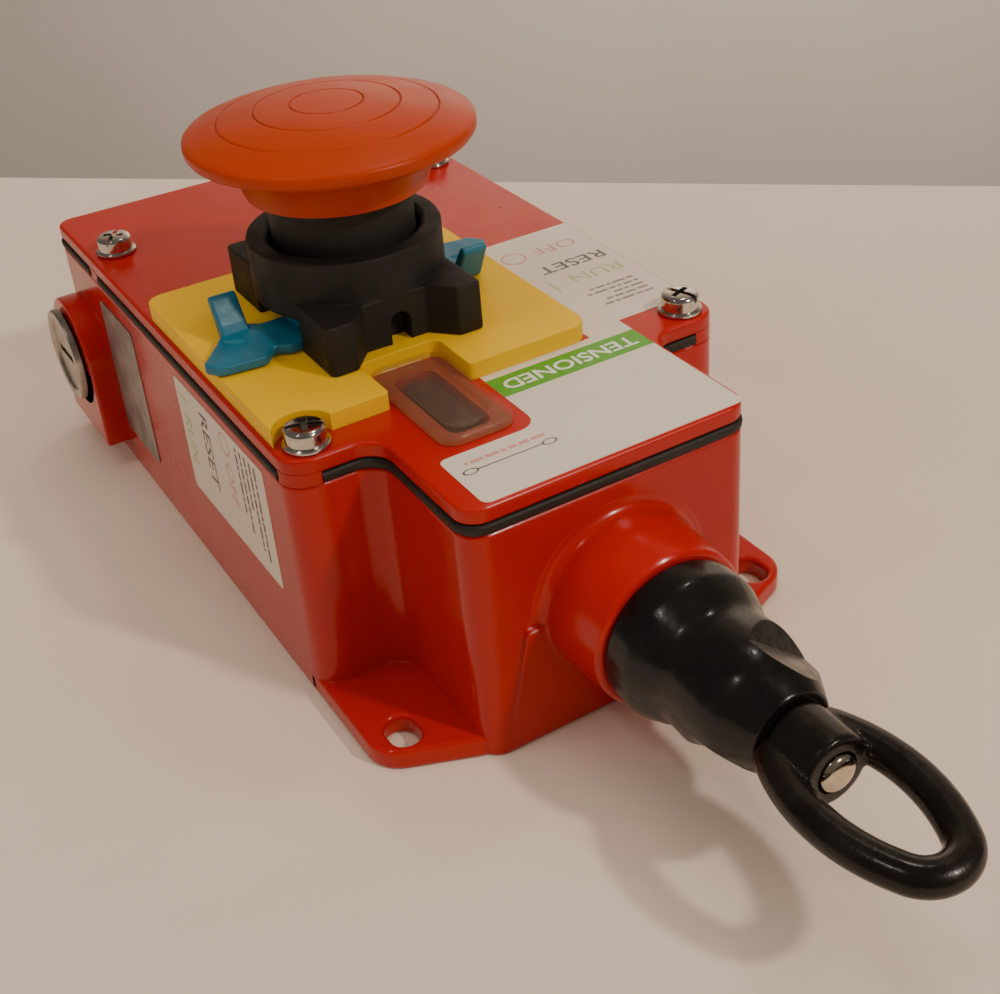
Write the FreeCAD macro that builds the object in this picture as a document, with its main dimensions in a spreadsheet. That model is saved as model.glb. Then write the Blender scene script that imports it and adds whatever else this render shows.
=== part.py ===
import FreeCAD, Part
import math
import os

# Rope pull switch: a die-cast housing with a gasketed lid, a mushroom head with its guard
# collar and reset lever, and a spring-loaded pull shaft that ends in a swivel eye.
# Frame: origin at the centre of the four foot slots on the base plane, +X along the pull,
# +Z up. Every piece is a solid of its own, and every size comes from the sheet below.

os.makedirs("parts", exist_ok=True)
V = FreeCAD.Vector
doc = FreeCAD.newDocument("RopePullSwitch")

SIZES = [
    # housing, cover and gasket share one plan: a wide rear part and a narrower nose
    ("rear", -80.1, "rear wall, outside"),
    ("shoulder", 68.1, "front of the wide part, outside"),
    ("nose", 101.9, "front of the nose, outside"),
    ("wide", 51.4, "half width of the wide part"),
    ("slim", 32.4, "half width of the nose"),
    ("wall", 3.5, "housing wall"),
    ("floor", 4.0, "housing floor"),
    ("rim", 53.4, "top of the housing wall"),
    ("seal", 2.4, "gasket, pressed"),
    ("lid", 3.7, "cover thickness"),
    ("lid_round", 1.0, "rounding of the cover's top edge"),
    ("corner_rear", 4.0, "rear corner radius"),
    ("corner_front", 6.0, "radius of the wide part's front corners"),
    ("corner_nose", 5.0, "nose corner radius"),
    ("cove", 5.5, "hollow corner between shoulder and nose"),
    ("inner_round", 2.5, "corner radius inside the housing"),
    # feet
    ("foot", 4.8, "thickness of the feet"),
    ("slot_reach", 88.0, "foot slot centres from the middle, along X"),
    ("slot_in", 7.3, "foot slot centres, in from the side"),
    ("slot_wide", 6.5, "foot slot width"),
    ("slot_long", 9.0, "foot slot length, end to end"),
    ("foot_tip", 13.2, "front feet, reach past the slot centre at the nose"),
    ("foot_lug", 3.7, "front feet, reach past the slot centre at the side"),
    ("ear_tip", 7.2, "rear ears, reach past the slot centre"),
    ("foot_round", 6.0, "foot corner radius"),
    # cover screws
    ("screw_rear", 29.6, "rear screws, ahead of the rear wall"),
    ("screw_front", 5.7, "front screws, behind the shoulder"),
    ("screw_in", 6.8, "screws, in from the side"),
    ("screw_shank", 2.45, "screw shank radius"),
    ("screw_head", 4.15, "screw head radius"),
    ("screw_head_tall", 3.4, "screw head height"),
    ("washer_rad", 4.85, "radius of the screw's captive washer"),
    ("washer_thick", 1.1, "thickness of the captive washer"),
    ("screw_deep", 14.0, "screw length in the housing"),
    ("column", 6.4, "radius of the screw columns"),
    ("pad", 5.6, "radius of the metal pads that pass the gasket"),
    ("gap", 0.3, "clearance between pieces that don't touch"),
    ("fit", 0.05, "running clearance, on the radius"),
    # pull shaft line
    ("shaft_up", 29.2, "height of the shaft axis"),
    ("shaft_rad", 4.0, "shaft radius"),
    ("shaft_back", -66.0, "rear end of the shaft"),
    ("neck_rad", 3.0, "shaft radius inside the eye"),
    ("peen_rad", 3.75, "radius of the peened shaft end"),
    ("peen_rise", 1.5, "rise of the peened shaft end"),
    ("snout_root", 17.6, "nose boss radius at the wall"),
    ("snout_rad", 16.7, "nose boss radius at its end"),
    ("snout_long", 17.1, "length of the nose boss"),
    ("snout_flare", 6.0, "width of the nose boss's flare on the wall"),
    ("bush_rad", 8.0, "shaft bush radius"),
    ("bush_flange", 11.0, "radius of the bush's inner flange"),
    ("travel", 12.0, "pull travel"),
    ("boot_long", 33.9, "length of the boot"),
    ("hex_start", 18.0, "start of the boot's flats, behind its end"),
    ("hex_edge", 11.4, "edge of the boot's flats, behind its end"),
    ("hex_flat", 11.3, "half width across the boot's flats"),
    ("boot_skin", 2.2, "boot wall"),
    ("boot_flange", 15.1, "boot flange radius"),
    ("boot_body", 13.4, "boot body radius"),
    ("boot_neck", 10.6, "boot neck radius"),
    # swivel eye
    ("eye_boss", 7.0, "radius of the eye's boss"),
    ("eye_boss_long", 11.0, "length of the eye's boss"),
    ("eye_mid", 17.2, "middle of the ring, ahead of the boss's rear face"),
    ("eye_long", 19.7, "half length of the ring's centreline"),
    ("eye_half", 10.2, "half width of the ring's centreline"),
    ("eye_turn", 7.0, "centreline radius of the ring's end"),
    ("limb", 3.2, "radius of the ring's round bar"),
    # cable entries
    ("port_back", 14.8, "cable entry centre, ahead of the rear wall"),
    ("port_rad", 14.8, "radius of the cable entry's boss"),
    ("port_out", 6.6, "cable entry boss, out from the side wall"),
    ("port_foot", 7.0, "lower edge of the cable entry's boss"),
    ("port_bore", 9.2, "cable entry bore radius"),
    ("plug_rad", 12.2, "plug head radius"),
    ("plug_thick", 1.7, "plug head thickness"),
    # button, guard and lever share one axis
    ("push_x", 23.2, "button axis along X"),
    ("push_y", -14.4, "button axis along Y"),
    ("plate_thick", 4.0, "yellow plate thickness"),
    ("plate_rear", -11.4, "yellow plate, rear edge"),
    ("plate_front", 61.0, "yellow plate, front edge"),
    ("plate_in", 0.9, "yellow plate, in from the left side"),
    ("plate_right", 22.0, "yellow plate, right edge"),
    ("plate_round", 4.0, "yellow plate corner radius"),
    ("neck_out", 14.8, "outer radius of the bushing through the lid"),
    ("neck_in", 11.9, "bore radius of the bushing"),
    ("stem_rad", 11.6, "button stem radius"),
    ("guard_rad", 20.7, "guard drum radius"),
    ("guard_in", 16.0, "guard bore radius"),
    ("guard_tall", 18.9, "guard drum height"),
    ("lobe_tall", 11.0, "height of the guard's corner lobes"),
    ("lobe_x", 26.2, "guard half length"),
    ("lobe_y", 17.8, "guard half width"),
    ("tunnel_tall", 7.3, "height of the lever's opening in the guard"),
    ("cap_rad", 30.0, "mushroom cap radius"),
    ("cap_tall", 12.8, "height of the cap from its skirt to its rim"),
    ("cap_band", 2.8, "height of the rim's band"),
    ("cap_dome", 4.4, "rise of the cap's dome"),
    ("skirt_rad", 19.2, "radius of the cap's skirt at its foot"),
    ("cap_lift", 10.8, "gap between the guard and the cap's skirt"),
    ("push_travel", 5.0, "button travel"),
    ("stem_drop", 14.0, "button stem, reach below the lid"),
    ("nut_wide", 5.0, "width of the bushing nut's wall"),
    ("nut_thick", 5.0, "bushing nut thickness"),
    ("neck_wall", 1.7, "wall of the bushing above the plate"),
    ("neck_drop", 9.0, "bushing, reach below the lid"),
    ("lever_ring", 2.0, "rise of the lever's ring above its wings"),
    ("lever_thick", 2.2, "lever thickness"),
    ("lever_tip", 38.4, "reach of the lever's pointer"),
    ("lever_tab", 9.5, "height of the lever's thumb tab above the plate"),
    # window
    ("pane_rear", 51.2, "window flange, rear edge"),
    ("pane_front", 86.0, "window flange, front edge"),
    ("pane_left", -25.2, "window flange, left edge"),
    ("pane_right", -7.8, "window flange, right edge"),
    ("pane_thick", 1.9, "window flange thickness"),
    ("pane_seal", 0.7, "window seal thickness"),
    ("pane_lip", 4.0, "width of the window's flange"),
    # mechanism
    ("spring_long", 44.4, "main spring, fitted length"),
    ("seat_thick", 3.0, "spring seat thickness"),
    ("seat_rad", 11.0, "spring seat radius"),
    ("coil_rad", 8.4, "mean radius of the main spring"),
    ("wire", 1.1, "wire radius of the main spring"),
    ("coil_turns", 6.0, "turns of the main spring"),
    ("cam_back", -40.0, "rear end of the cam block"),
    ("cam_front", -8.0, "front end of the cam block"),
    ("cam_mid", -25.0, "plungers along X"),
    ("cam_half", 9.0, "cam half width at the plungers at rest"),
    ("cam_slope", 0.2, "cam slope, plunger travel per shaft travel"),
    ("cam_tall", 16.0, "cam block height"),
    ("block_in", 20.0, "contact blocks, inner face from the middle"),
    ("block_out", 37.5, "contact blocks, outer face from the middle"),
    ("block_back", -47.0, "contact blocks, rear end"),
    ("block_front", -3.0, "contact blocks, front end"),
    ("block_top", 44.0, "contact blocks, top"),
    ("carrier", 2.0, "carrier plate thickness"),
    ("plunger_rad", 2.5, "plunger radius"),
    ("term_rad", 1.5, "terminal screw shank radius"),
    ("term_head", 3.0, "terminal screw head radius"),
    ("term_tall", 2.2, "terminal screw head height"),
    ("term_deep", 7.0, "terminal screw length in the block"),
    ("flag_half", 9.0, "half height of the indicator's foot"),
    ("flag_reach", 17.0, "reach of the indicator's pointer"),
    ("flag_thick", 3.0, "thickness of the indicator's foot"),
    ("slot_cut", 1.1, "screwdriver slot width"),
]

sheet = doc.addObject("Spreadsheet::Sheet", "Sizes")
for line, (alias, number, note) in enumerate(SIZES, start=1):
    sheet.set("A%d" % line, note)
    sheet.set("B%d" % line, str(number))
    sheet.setAlias("B%d" % line, alias)
doc.recompute()


class Size:
    """A length that carries both its number and the sheet expression it stands for."""

    def __init__(self, number, text):
        self.number = float(number)
        self.text = text

    def __add__(self, other):
        other = as_size(other)
        return Size(self.number + other.number, "(%s + %s)" % (self.text, other.text))

    def __sub__(self, other):
        other = as_size(other)
        return Size(self.number - other.number, "(%s - %s)" % (self.text, other.text))

    def __mul__(self, other):
        other = as_size(other)
        return Size(self.number * other.number, "(%s * %s)" % (self.text, other.text))

    def __truediv__(self, other):
        other = as_size(other)
        return Size(self.number / other.number, "(%s / %s)" % (self.text, other.text))

    def __neg__(self):
        return Size(-self.number, "(0 - %s)" % self.text)

    def __radd__(self, other):
        return as_size(other) + self

    def __rsub__(self, other):
        return as_size(other) - self

    def __rmul__(self, other):
        return as_size(other) * self

    def __float__(self):
        return self.number


def as_size(thing):
    return thing if isinstance(thing, Size) else Size(thing, repr(float(thing)))


class Table:
    """Sizes by name, each bound to its cell."""

    def __init__(self, rows):
        for name, number, note in rows:
            setattr(self, name, Size(number, "Sizes." + name))


s = Table(SIZES)
ZERO = as_size(0.0)

# derived places that several pieces share
lid_low = s.rim + s.seal
lid_top = lid_low + s.lid
plate_top = lid_top + s.plate_thick
snout_wall = s.nose - s.wall
snout_end = s.nose + s.snout_long
bush_back = snout_wall - 2
seat_front = bush_back - s.spring_long
seat_back = seat_front - s.seat_thick
boot_start = snout_end + s.gap
boot_end = boot_start + s.boot_long
eye_back = boot_end + s.gap
eye_face = eye_back + s.eye_boss_long
shaft_z = s.shaft_up
screw_y = s.wide - s.screw_in
slot_y = s.wide - s.slot_in
port_x = s.rear + s.port_back
port_face = s.wide + s.port_out
plate_left = s.plate_in - s.wide
guard_top = plate_top + s.guard_tall
lobe_top = plate_top + s.lobe_tall
tunnel_top = plate_top + s.tunnel_tall
skirt_low = guard_top + s.cap_lift
cap_rim = skirt_low + s.cap_tall


def bind(thing, prop, size):
    thing.setExpression(prop, as_size(size).text)


def place(thing, x, y, z, turn=None):
    """Puts a primitive at a bound position, turned by a fixed rotation."""
    if turn is not None:
        thing.Placement = FreeCAD.Placement(V(0, 0, 0), turn)
    for axis, size in zip("xyz", (x, y, z)):
        bind(thing, "Placement.Base." + axis, size)
    return thing


TURN = {
    "X": FreeCAD.Rotation(V(0, 1, 0), 90),
    "Y": FreeCAD.Rotation(V(1, 0, 0), -90),
    "Z": FreeCAD.Rotation(),
}
count = {"n": 0}


def fresh(word):
    count["n"] += 1
    return "%s_%d" % (word, count["n"])


def box(x0, x1, y0, y1, z0, z1):
    thing = doc.addObject("Part::Box", fresh("block"))
    bind(thing, "Length", as_size(x1) - x0)
    bind(thing, "Width", as_size(y1) - y0)
    bind(thing, "Height", as_size(z1) - z0)
    return place(thing, x0, y0, z0)


def rod(axis, start, end, u, v, radius):
    """A cylinder along an axis: u and v are its other two coordinates in X, Y, Z order."""
    thing = doc.addObject("Part::Cylinder", fresh("rod"))
    bind(thing, "Radius", radius)
    bind(thing, "Height", as_size(end) - start)
    spot = {"X": (start, u, v), "Y": (u, start, v), "Z": (u, v, start)}[axis]
    return place(thing, *spot, turn=TURN[axis])


def taper(axis, start, end, u, v, radius0, radius1):
    thing = doc.addObject("Part::Cone", fresh("taper"))
    bind(thing, "Radius1", radius0)
    bind(thing, "Radius2", radius1)
    bind(thing, "Height", as_size(end) - start)
    spot = {"X": (start, u, v), "Y": (u, start, v), "Z": (u, v, start)}[axis]
    return place(thing, *spot, turn=TURN[axis])


def cut(base, *tools):
    thing = doc.addObject("Part::Cut", fresh("cut"))
    thing.Base = base
    thing.Tool = tools[0] if len(tools) == 1 else fuse(*tools)
    return thing


def fuse(*shapes):
    thing = doc.addObject("Part::MultiFuse", fresh("fuse"))
    thing.Shapes = list(shapes)
    thing.Refine = True
    return thing


def common(*shapes):
    thing = doc.addObject("Part::MultiCommon", fresh("common"))
    thing.Shapes = list(shapes)
    return thing


def plane_of(body, role):
    for feature in body.Origin.OriginFeatures:
        if feature.Role == role:
            return feature
    raise RuntimeError("no plane " + role)


def sketch_on(body, role, lift):
    """A sketch on one of the body's origin planes, lifted along the plane's normal."""
    sketch = body.newObject("Sketcher::SketchObject", fresh("sketch"))
    sketch.AttachmentSupport = (plane_of(body, role), [""])
    sketch.MapMode = "FlatFace"
    sketch.setExpression("AttachmentOffset.Base.z", as_size(lift).text)
    return sketch


def draw_loop(sketch, points):
    """A closed loop of straight lines whose corners are bound to the sheet."""
    import Sketcher
    first = sketch.GeometryCount
    total = len(points)
    for i in range(total):
        a = points[i]
        b = points[(i + 1) % total]
        line = Part.LineSegment(V(float(a[0]), float(a[1]), 0), V(float(b[0]), float(b[1]), 0))
        sketch.addGeometry(line, False)
    for i in range(total):
        sketch.addConstraint(Sketcher.Constraint("Coincident", first + i, 2, first + (i + 1) % total, 1))
    for i, (x, y) in enumerate(points):
        for kind, size in (("DistanceX", x), ("DistanceY", y)):
            size = as_size(size)
            at = sketch.addConstraint(Sketcher.Constraint(kind, -1, 1, first + i, 1, size.number))
            if "Sizes." in size.text:
                sketch.setExpression("Constraints[%d]" % at, size.text)


def draw_circle(sketch, x, y, radius):
    import Sketcher
    geo = sketch.GeometryCount
    sketch.addGeometry(Part.Circle(V(float(x), float(y), 0), V(0, 0, 1), float(radius)), False)
    for kind, size in (("DistanceX", x), ("DistanceY", y)):
        size = as_size(size)
        at = sketch.addConstraint(Sketcher.Constraint(kind, -1, 1, geo, 3, size.number))
        sketch.setExpression("Constraints[%d]" % at, size.text)
    at = sketch.addConstraint(Sketcher.Constraint("Radius", geo, float(radius)))
    sketch.setExpression("Constraints[%d]" % at, as_size(radius).text)


def pad(body, sketch, length, kind="PartDesign::Pad"):
    feature = body.newObject(kind, fresh("pad"))
    feature.Profile = sketch
    bind(feature, "Length", length)
    body.Tip = feature
    return feature


def round_edges(body, spots, radius):
    """Rounds the body's vertical edges that stand at the given plan positions."""
    doc.recompute()
    shape = body.Tip.Shape
    names = []
    for index, edge in enumerate(shape.Edges, start=1):
        a = edge.Vertexes[0].Point
        b = edge.Vertexes[-1].Point
        if len(edge.Vertexes) < 2 or abs(a.x - b.x) > 1e-6 or abs(a.y - b.y) > 1e-6:
            continue
        if any(abs(a.x - float(x)) < 1e-4 and abs(a.y - float(y)) < 1e-4 for x, y in spots):
            names.append("Edge%d" % index)
    if not names:
        raise RuntimeError("no edge to round")
    return round_names(body, names, radius)


def round_names(body, names, radius, kind="PartDesign::Fillet", prop="Radius"):
    base = body.Tip
    feature = body.newObject(kind, fresh("round"))
    feature.Base = (base, names)
    bind(feature, prop, radius)
    body.Tip = feature
    return feature


def new_body(name):
    return doc.addObject("PartDesign::Body", name)


def plan_points(inset):
    inset = as_size(inset)
    return [
        (s.rear + inset, inset - s.wide),
        (s.shoulder - inset, inset - s.wide),
        (s.shoulder - inset, inset - s.slim),
        (s.nose - inset, inset - s.slim),
        (s.nose - inset, s.slim - inset),
        (s.shoulder - inset, s.slim - inset),
        (s.shoulder - inset, s.wide - inset),
        (s.rear + inset, s.wide - inset),
    ]


def plan_body(name, inset, low, high):
    """The plan of the housing, inset from its outside, as a prism with rounded corners."""
    body = new_body(name)
    sketch = sketch_on(body, "XY_Plane", low)
    points = plan_points(inset)
    draw_loop(sketch, points)
    pad(body, sketch, as_size(high) - low)
    inset = as_size(inset)
    round_edges(body, [points[0], points[7]], s.corner_rear - inset)
    round_edges(body, [points[1], points[6]], s.corner_front - inset)
    round_edges(body, [points[2], points[5]], s.cove + inset)
    round_edges(body, [points[3], points[4]], s.corner_nose - inset)
    return body


def prism(name, points, low, high, rounds=()):
    """A prism on the XY plane from a bound outline, with rounded corners by position."""
    body = new_body(name)
    sketch = sketch_on(body, "XY_Plane", low)
    draw_loop(sketch, points)
    pad(body, sketch, as_size(high) - low)
    for spots, radius in rounds:
        round_edges(body, [points[i] for i in spots], radius)
    return body


def revolve(name, points, x, y, z, axis="Z"):
    """A turned piece from a half profile of (radius, height) points bound to the sheet."""
    body = new_body(name)
    sketch = sketch_on(body, "XZ_Plane", ZERO)
    draw_loop(sketch, points)
    feature = body.newObject("PartDesign::Revolution", fresh("turned"))
    feature.Profile = sketch
    feature.ReferenceAxis = (sketch, ["V_Axis"])
    feature.Angle = 360.0
    body.Tip = feature
    if axis == "X":
        body.Placement = FreeCAD.Placement(V(0, 0, 0), TURN["X"])
    for letter, size in zip("xyz", (x, y, z)):
        bind(body, "Placement.Base." + letter, size)
    return body


SCREWS = {
    "fl": (s.shoulder - s.screw_front, -screw_y),
    "fr": (s.shoulder - s.screw_front, screw_y),
    "rl": (s.rear + s.screw_rear, -screw_y),
    "rr": (s.rear + s.screw_rear, screw_y),
}
pieces = {}

# Housing: the plan as a block, hollowed, with screw columns, feet, entry bosses and snout.
blank = plan_body("housing_blank", 0.0, 0.0, s.rim)
hollow = prism(
    "housing_hollow",
    plan_points(s.wall),
    s.floor,
    s.rim + 1,
    rounds=[((0, 7, 1, 6, 3, 4), s.inner_round)],
)


def foot_outline(side):
    return [
        (s.shoulder - 6, side * s.wide),
        (s.slot_reach + s.foot_lug, side * s.wide),
        (s.slot_reach + s.foot_tip, side * (s.slim - s.wall)),
        (s.shoulder - 6, side * (s.slim - s.wall)),
    ]


def ear_outline(side):
    return [
        (s.rear + 6, side * s.wide),
        (-s.slot_reach - s.ear_tip, side * s.wide),
        (-s.slot_reach - s.ear_tip, side * (slot_y - s.slot_wide)),
        (s.rear, side * (slot_y - 2.0 * s.slot_wide)),
        (s.rear + 6, side * (slot_y - 2.0 * s.slot_wide)),
    ]


feet = []
slots = []
for side in (-1.0, 1.0):
    turned = 1 if side > 0 else 0
    outline = foot_outline(side)
    feet.append(prism(fresh("foot"), outline, 0.0, s.foot, rounds=[((1,), s.foot_round)]))
    outline = ear_outline(side)
    feet.append(prism(fresh("ear"), outline, 0.0, s.foot, rounds=[((1, 2), s.foot_round)]))
    for reach in (s.slot_reach, -s.slot_reach):
        half = s.slot_long / 2 - s.slot_wide / 2
        slots.append(box(
            reach - half, reach + half,
            side * slot_y - s.slot_wide / 2, side * slot_y + s.slot_wide / 2,
            -1.0, s.foot + 1,
        ))
        for end in (-half, half):
            slots.append(rod("Z", -1.0, s.foot + 1, reach + end, side * slot_y, s.slot_wide / 2))

columns = []
bores = []
for x, y in SCREWS.values():
    columns.append(rod("Z", s.floor / 2, s.rim, x, y, s.column))
    bores.append(rod("Z", s.rim - s.screw_deep - 1, s.rim + 1, x, y, s.screw_shank + s.fit))
trimmed = common(fuse(*columns), plan_body("column_trim", 0.0, 0.0, s.rim))

ports = []
for side in (-1.0, 1.0):
    low, high = (-port_face, -(s.wide - 1)) if side < 0 else (s.wide - 1, port_face)
    ports.append(rod("Y", low, high, port_x, shaft_z, s.port_rad))
    ports.append(box(port_x - s.port_rad, port_x + s.port_rad, low, high, s.port_foot, shaft_z))
    low, high = (-(port_face + 1), -(s.wide - s.wall - 1)) if side < 0 else (s.wide - s.wall - 1, port_face + 1)
    bores.append(rod("Y", low, high, port_x, shaft_z, s.port_bore))

flare = []
for step in range(5):
    angle = math.radians(22.5 * step)
    flare.append((
        s.snout_root + s.snout_flare * (1.0 - math.sin(angle)),
        s.nose + s.snout_flare * (1.0 - math.cos(angle)),
    ))
snout_profile = [(ZERO, snout_wall + 1), (s.snout_root + s.snout_flare, snout_wall + 1)]
snout_profile += flare + [(s.snout_rad, snout_end - 0.6), (s.snout_rad - 0.6, snout_end), (ZERO, snout_end)]
snout = revolve("snout", snout_profile, ZERO, ZERO, shaft_z, axis="X")
bores.append(rod("X", snout_wall - 1, snout_end + 1, ZERO, shaft_z, s.bush_rad))
hollowed = cut(blank, hollow)
pieces["housing"] = cut(fuse(hollowed, trimmed, snout, *feet, *ports), *bores, *slots)

# Gasket: the same plan as a ring, interrupted where the metal pads stand.
ring = cut(plan_body("gasket_blank", 0.0, s.rim, lid_low), prism(
    "gasket_hollow", plan_points(s.wall), s.rim - 1, lid_low + 1,
    rounds=[((0, 7, 1, 6, 3, 4), s.inner_round)],
))
clear = [rod("Z", s.rim - 1, lid_low + 1, x, y, s.column + s.gap) for x, y in SCREWS.values()]
for x, y in (SCREWS["rl"], SCREWS["rr"]):
    outward = -1.0 if float(y) < 0 else 1.0
    low, high = (y - 10, y) if outward < 0 else (y, y + 10)
    clear.append(box(x - s.pad / 2 - s.gap, x + s.pad / 2 + s.gap, low, high, s.rim - 1, lid_low + 1))
for x, y in (SCREWS["fl"], SCREWS["fr"]):
    outward = -1.0 if float(y) < 0 else 1.0
    low, high = (y - 10, y) if outward < 0 else (y, y + 10)
    clear.append(box(x - s.gap, x + 10, low, high, s.rim - 1, lid_low + 1))
pieces["gasket"] = cut(ring, *clear)

# Cover: the plan again, its top edge rounded, with four metal pads on the screw columns.
cover_body = plan_body("cover_blank", 0.0, lid_low, lid_top)
doc.recompute()
top_edges = []
for index, edge in enumerate(cover_body.Tip.Shape.Edges, start=1):
    box_of = edge.BoundBox
    if abs(box_of.ZMin - float(lid_top)) < 1e-6 and abs(box_of.ZMax - float(lid_top)) < 1e-6:
        top_edges.append("Edge%d" % index)
round_names(cover_body, top_edges, s.lid_round)
pads = [rod("Z", s.rim, lid_low + 0.5, x, y, s.pad) for x, y in SCREWS.values()]
for x, y in (SCREWS["rl"], SCREWS["rr"]):
    low, high = (-s.wide - 2, y) if float(y) < 0 else (y, s.wide + 2)
    pads.append(box(x - s.pad / 2, x + s.pad / 2, low, high, s.rim, lid_low + 0.5))
for x, y in (SCREWS["fl"], SCREWS["fr"]):
    low, high = (-s.wide - 2, y) if float(y) < 0 else (y, s.wide + 2)
    pads.append(box(x, s.shoulder + 2, low, high, s.rim, lid_low + 0.5))
pads = common(fuse(*pads), plan_body("pad_trim", 0.0, s.rim, lid_low + 0.5))
pane_mid_in = [
    (s.pane_rear + s.pane_lip, s.pane_left + s.pane_lip),
    (s.pane_front - s.pane_lip, s.pane_left + s.pane_lip),
    (s.pane_front - s.pane_lip, s.pane_right - s.pane_lip),
    (s.pane_rear + s.pane_lip, s.pane_right - s.pane_lip),
]
light = prism("window_opening", pane_mid_in, lid_low - 1, lid_top + 1, rounds=[((0, 1, 2, 3), s.inner_round)])
holes = [rod("Z", s.rim - 1, lid_top + 1, x, y, s.screw_shank + s.gap) for x, y in SCREWS.values()]
holes.append(rod("Z", lid_low - 1, lid_top + 1, s.push_x, s.push_y, s.neck_out + s.fit))
pieces["cover"] = cut(fuse(cover_body, pads), light, *holes)

# Cover screws: round head with slot and cross, captive washer, shank.
for key, (x, y) in SCREWS.items():
    head_low = lid_top + s.washer_thick
    head_top = head_low + s.screw_head_tall
    slot_half = s.slot_cut / 2
    body = fuse(
        rod("Z", lid_top, head_low, x, y, s.washer_rad),
        rod("Z", head_low, head_top, x, y, s.screw_head),
        rod("Z", s.rim - s.screw_deep, lid_top + 0.2, x, y, s.screw_shank),
    )
    across = box(x - slot_half, x + slot_half, y - s.screw_head - 1, y + s.screw_head + 1,
                 head_top - 1.2, head_top + 1)
    along = box(x - s.screw_head * 0.6, x + s.screw_head * 0.6, y - slot_half, y + slot_half,
                head_top - 1.6, head_top + 1)
    pieces["cover_screw_" + key] = cut(body, across, along)

# Yellow plate: square, with a relief at the front left screw and a notch for the window.
notch_y0 = s.pane_left - s.gap
notch_y1 = s.pane_right + s.gap
plate = prism(
    "plate_blank",
    [
        (s.plate_rear, plate_left),
        (s.plate_front, plate_left),
        (s.plate_front, notch_y0),
        (s.pane_rear - s.gap, notch_y0),
        (s.pane_rear - s.gap, notch_y1),
        (s.plate_front, notch_y1),
        (s.plate_front, s.plate_right),
        (s.plate_rear, s.plate_right),
    ],
    lid_top, plate_top,
    rounds=[((0, 7, 6), s.plate_round), ((3, 4), s.inner_round)],
)
relief = rod("Z", lid_top - 1, plate_top + 1, s.shoulder - s.screw_front, -screw_y, s.washer_rad + 1.4)
pieces["button_plate"] = cut(
    plate, relief, rod("Z", lid_top - 1, plate_top + 1, s.push_x, s.push_y, s.neck_out + s.fit)
)

# Window: a clear flanged pane on a thin seal.
pane_out = [
    (s.pane_rear, s.pane_left),
    (s.pane_front, s.pane_left),
    (s.pane_front, s.pane_right),
    (s.pane_rear, s.pane_right),
]
seal_top = lid_top + s.pane_seal
pieces["window_seal"] = cut(
    prism("seal_blank", pane_out, lid_top, seal_top, rounds=[((0, 1, 2, 3), s.plate_round)]),
    prism("seal_hole", pane_mid_in, lid_top - 1, seal_top + 1, rounds=[((0, 1, 2, 3), s.inner_round)]),
)
pane_drop = [
    (s.pane_rear + s.pane_lip + s.gap, s.pane_left + s.pane_lip + s.gap),
    (s.pane_front - s.pane_lip - s.gap, s.pane_left + s.pane_lip + s.gap),
    (s.pane_front - s.pane_lip - s.gap, s.pane_right - s.pane_lip - s.gap),
    (s.pane_rear + s.pane_lip + s.gap, s.pane_right - s.pane_lip - s.gap),
]
pieces["window_pane"] = fuse(
    prism("pane_flange", pane_out, seal_top, seal_top + s.pane_thick, rounds=[((0, 1, 2, 3), s.plate_round)]),
    prism("pane_plug", pane_drop, lid_low + 0.5, seal_top + 0.5,
          rounds=[((0, 1, 2, 3), s.inner_round - s.gap)]),
)

# Button bushing: threaded tube through lid and plate, with its nut below the lid.
pieces["button_bushing"] = cut(
    fuse(
        rod("Z", lid_low - s.neck_drop, guard_top - 4, s.push_x, s.push_y, s.neck_in + s.neck_wall),
        rod("Z", lid_low - s.neck_drop, plate_top, s.push_x, s.push_y, s.neck_out),
    ),
    rod("Z", lid_low - s.neck_drop - 1, guard_top, s.push_x, s.push_y, s.neck_in),
)
nut_points = []
for step in range(6):
    angle = math.radians(60 * step)
    reach = s.neck_out + s.nut_wide
    nut_points.append((s.push_x + reach * math.cos(angle), s.push_y + reach * math.sin(angle)))
pieces["bushing_nut"] = cut(
    prism("nut_blank", nut_points, lid_low - s.nut_thick, lid_low),
    rod("Z", lid_low - s.nut_thick - 1, lid_low + 1, s.push_x, s.push_y, s.neck_out + s.fit),
)

# Guard collar: drum on a base with four corner lobes; the lever's wings pass below the drum.
px, py = s.push_x, s.push_y
tip = s.lobe_x
side = s.lobe_y
face = s.guard_rad
lobe_points = [
    (px - tip, py - side), (px + tip, py - side), (px + tip, py - side * 0.67),
    (px + face, py - side * 0.4), (px + face, py + side * 0.4), (px + tip, py + side * 0.67),
    (px + tip, py + side), (px - tip, py + side), (px - tip, py + side * 0.67),
    (px - face, py + side * 0.4), (px - face, py - side * 0.4), (px - tip, py - side * 0.67),
]
lobes = prism("guard_lobes", lobe_points, plate_top, lobe_top,
              rounds=[((0, 1, 6, 7), s.lid_round)])
drum = rod("Z", plate_top, guard_top, px, py, s.guard_rad)
tunnels = []
for mirror in (-1.0, 1.0):
    x0, x1 = (px - 11, px + 12.2) if mirror < 0 else (px - 12.2, px + 11)
    y0, y1 = (py - side * 1.5, py) if mirror < 0 else (py, py + side * 1.5)
    tunnels.append(box(x0, x1, y0, y1, plate_top - 1, tunnel_top))
gate = 2.35
gates = fuse(
    box(px - tip - 1, px + tip + 1, py - gate + 1, py + gate + 1, plate_top - 1, plate_top + 4.6),
    rod("X", px - tip - 1, px + tip + 1, py + 1, plate_top + 4.6, as_size(gate)),
)
bore = rod("Z", plate_top - 1, guard_top + 1, px, py, s.guard_in)
pieces["guard_collar"] = cut(fuse(lobes, drum), bore, gates, *tunnels)

# Reset lever: a ring round the bushing with two wings, each with a thumb tab and a pointer.
lever_low = plate_top + s.gap
lever_high = lever_low + s.lever_thick


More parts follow.
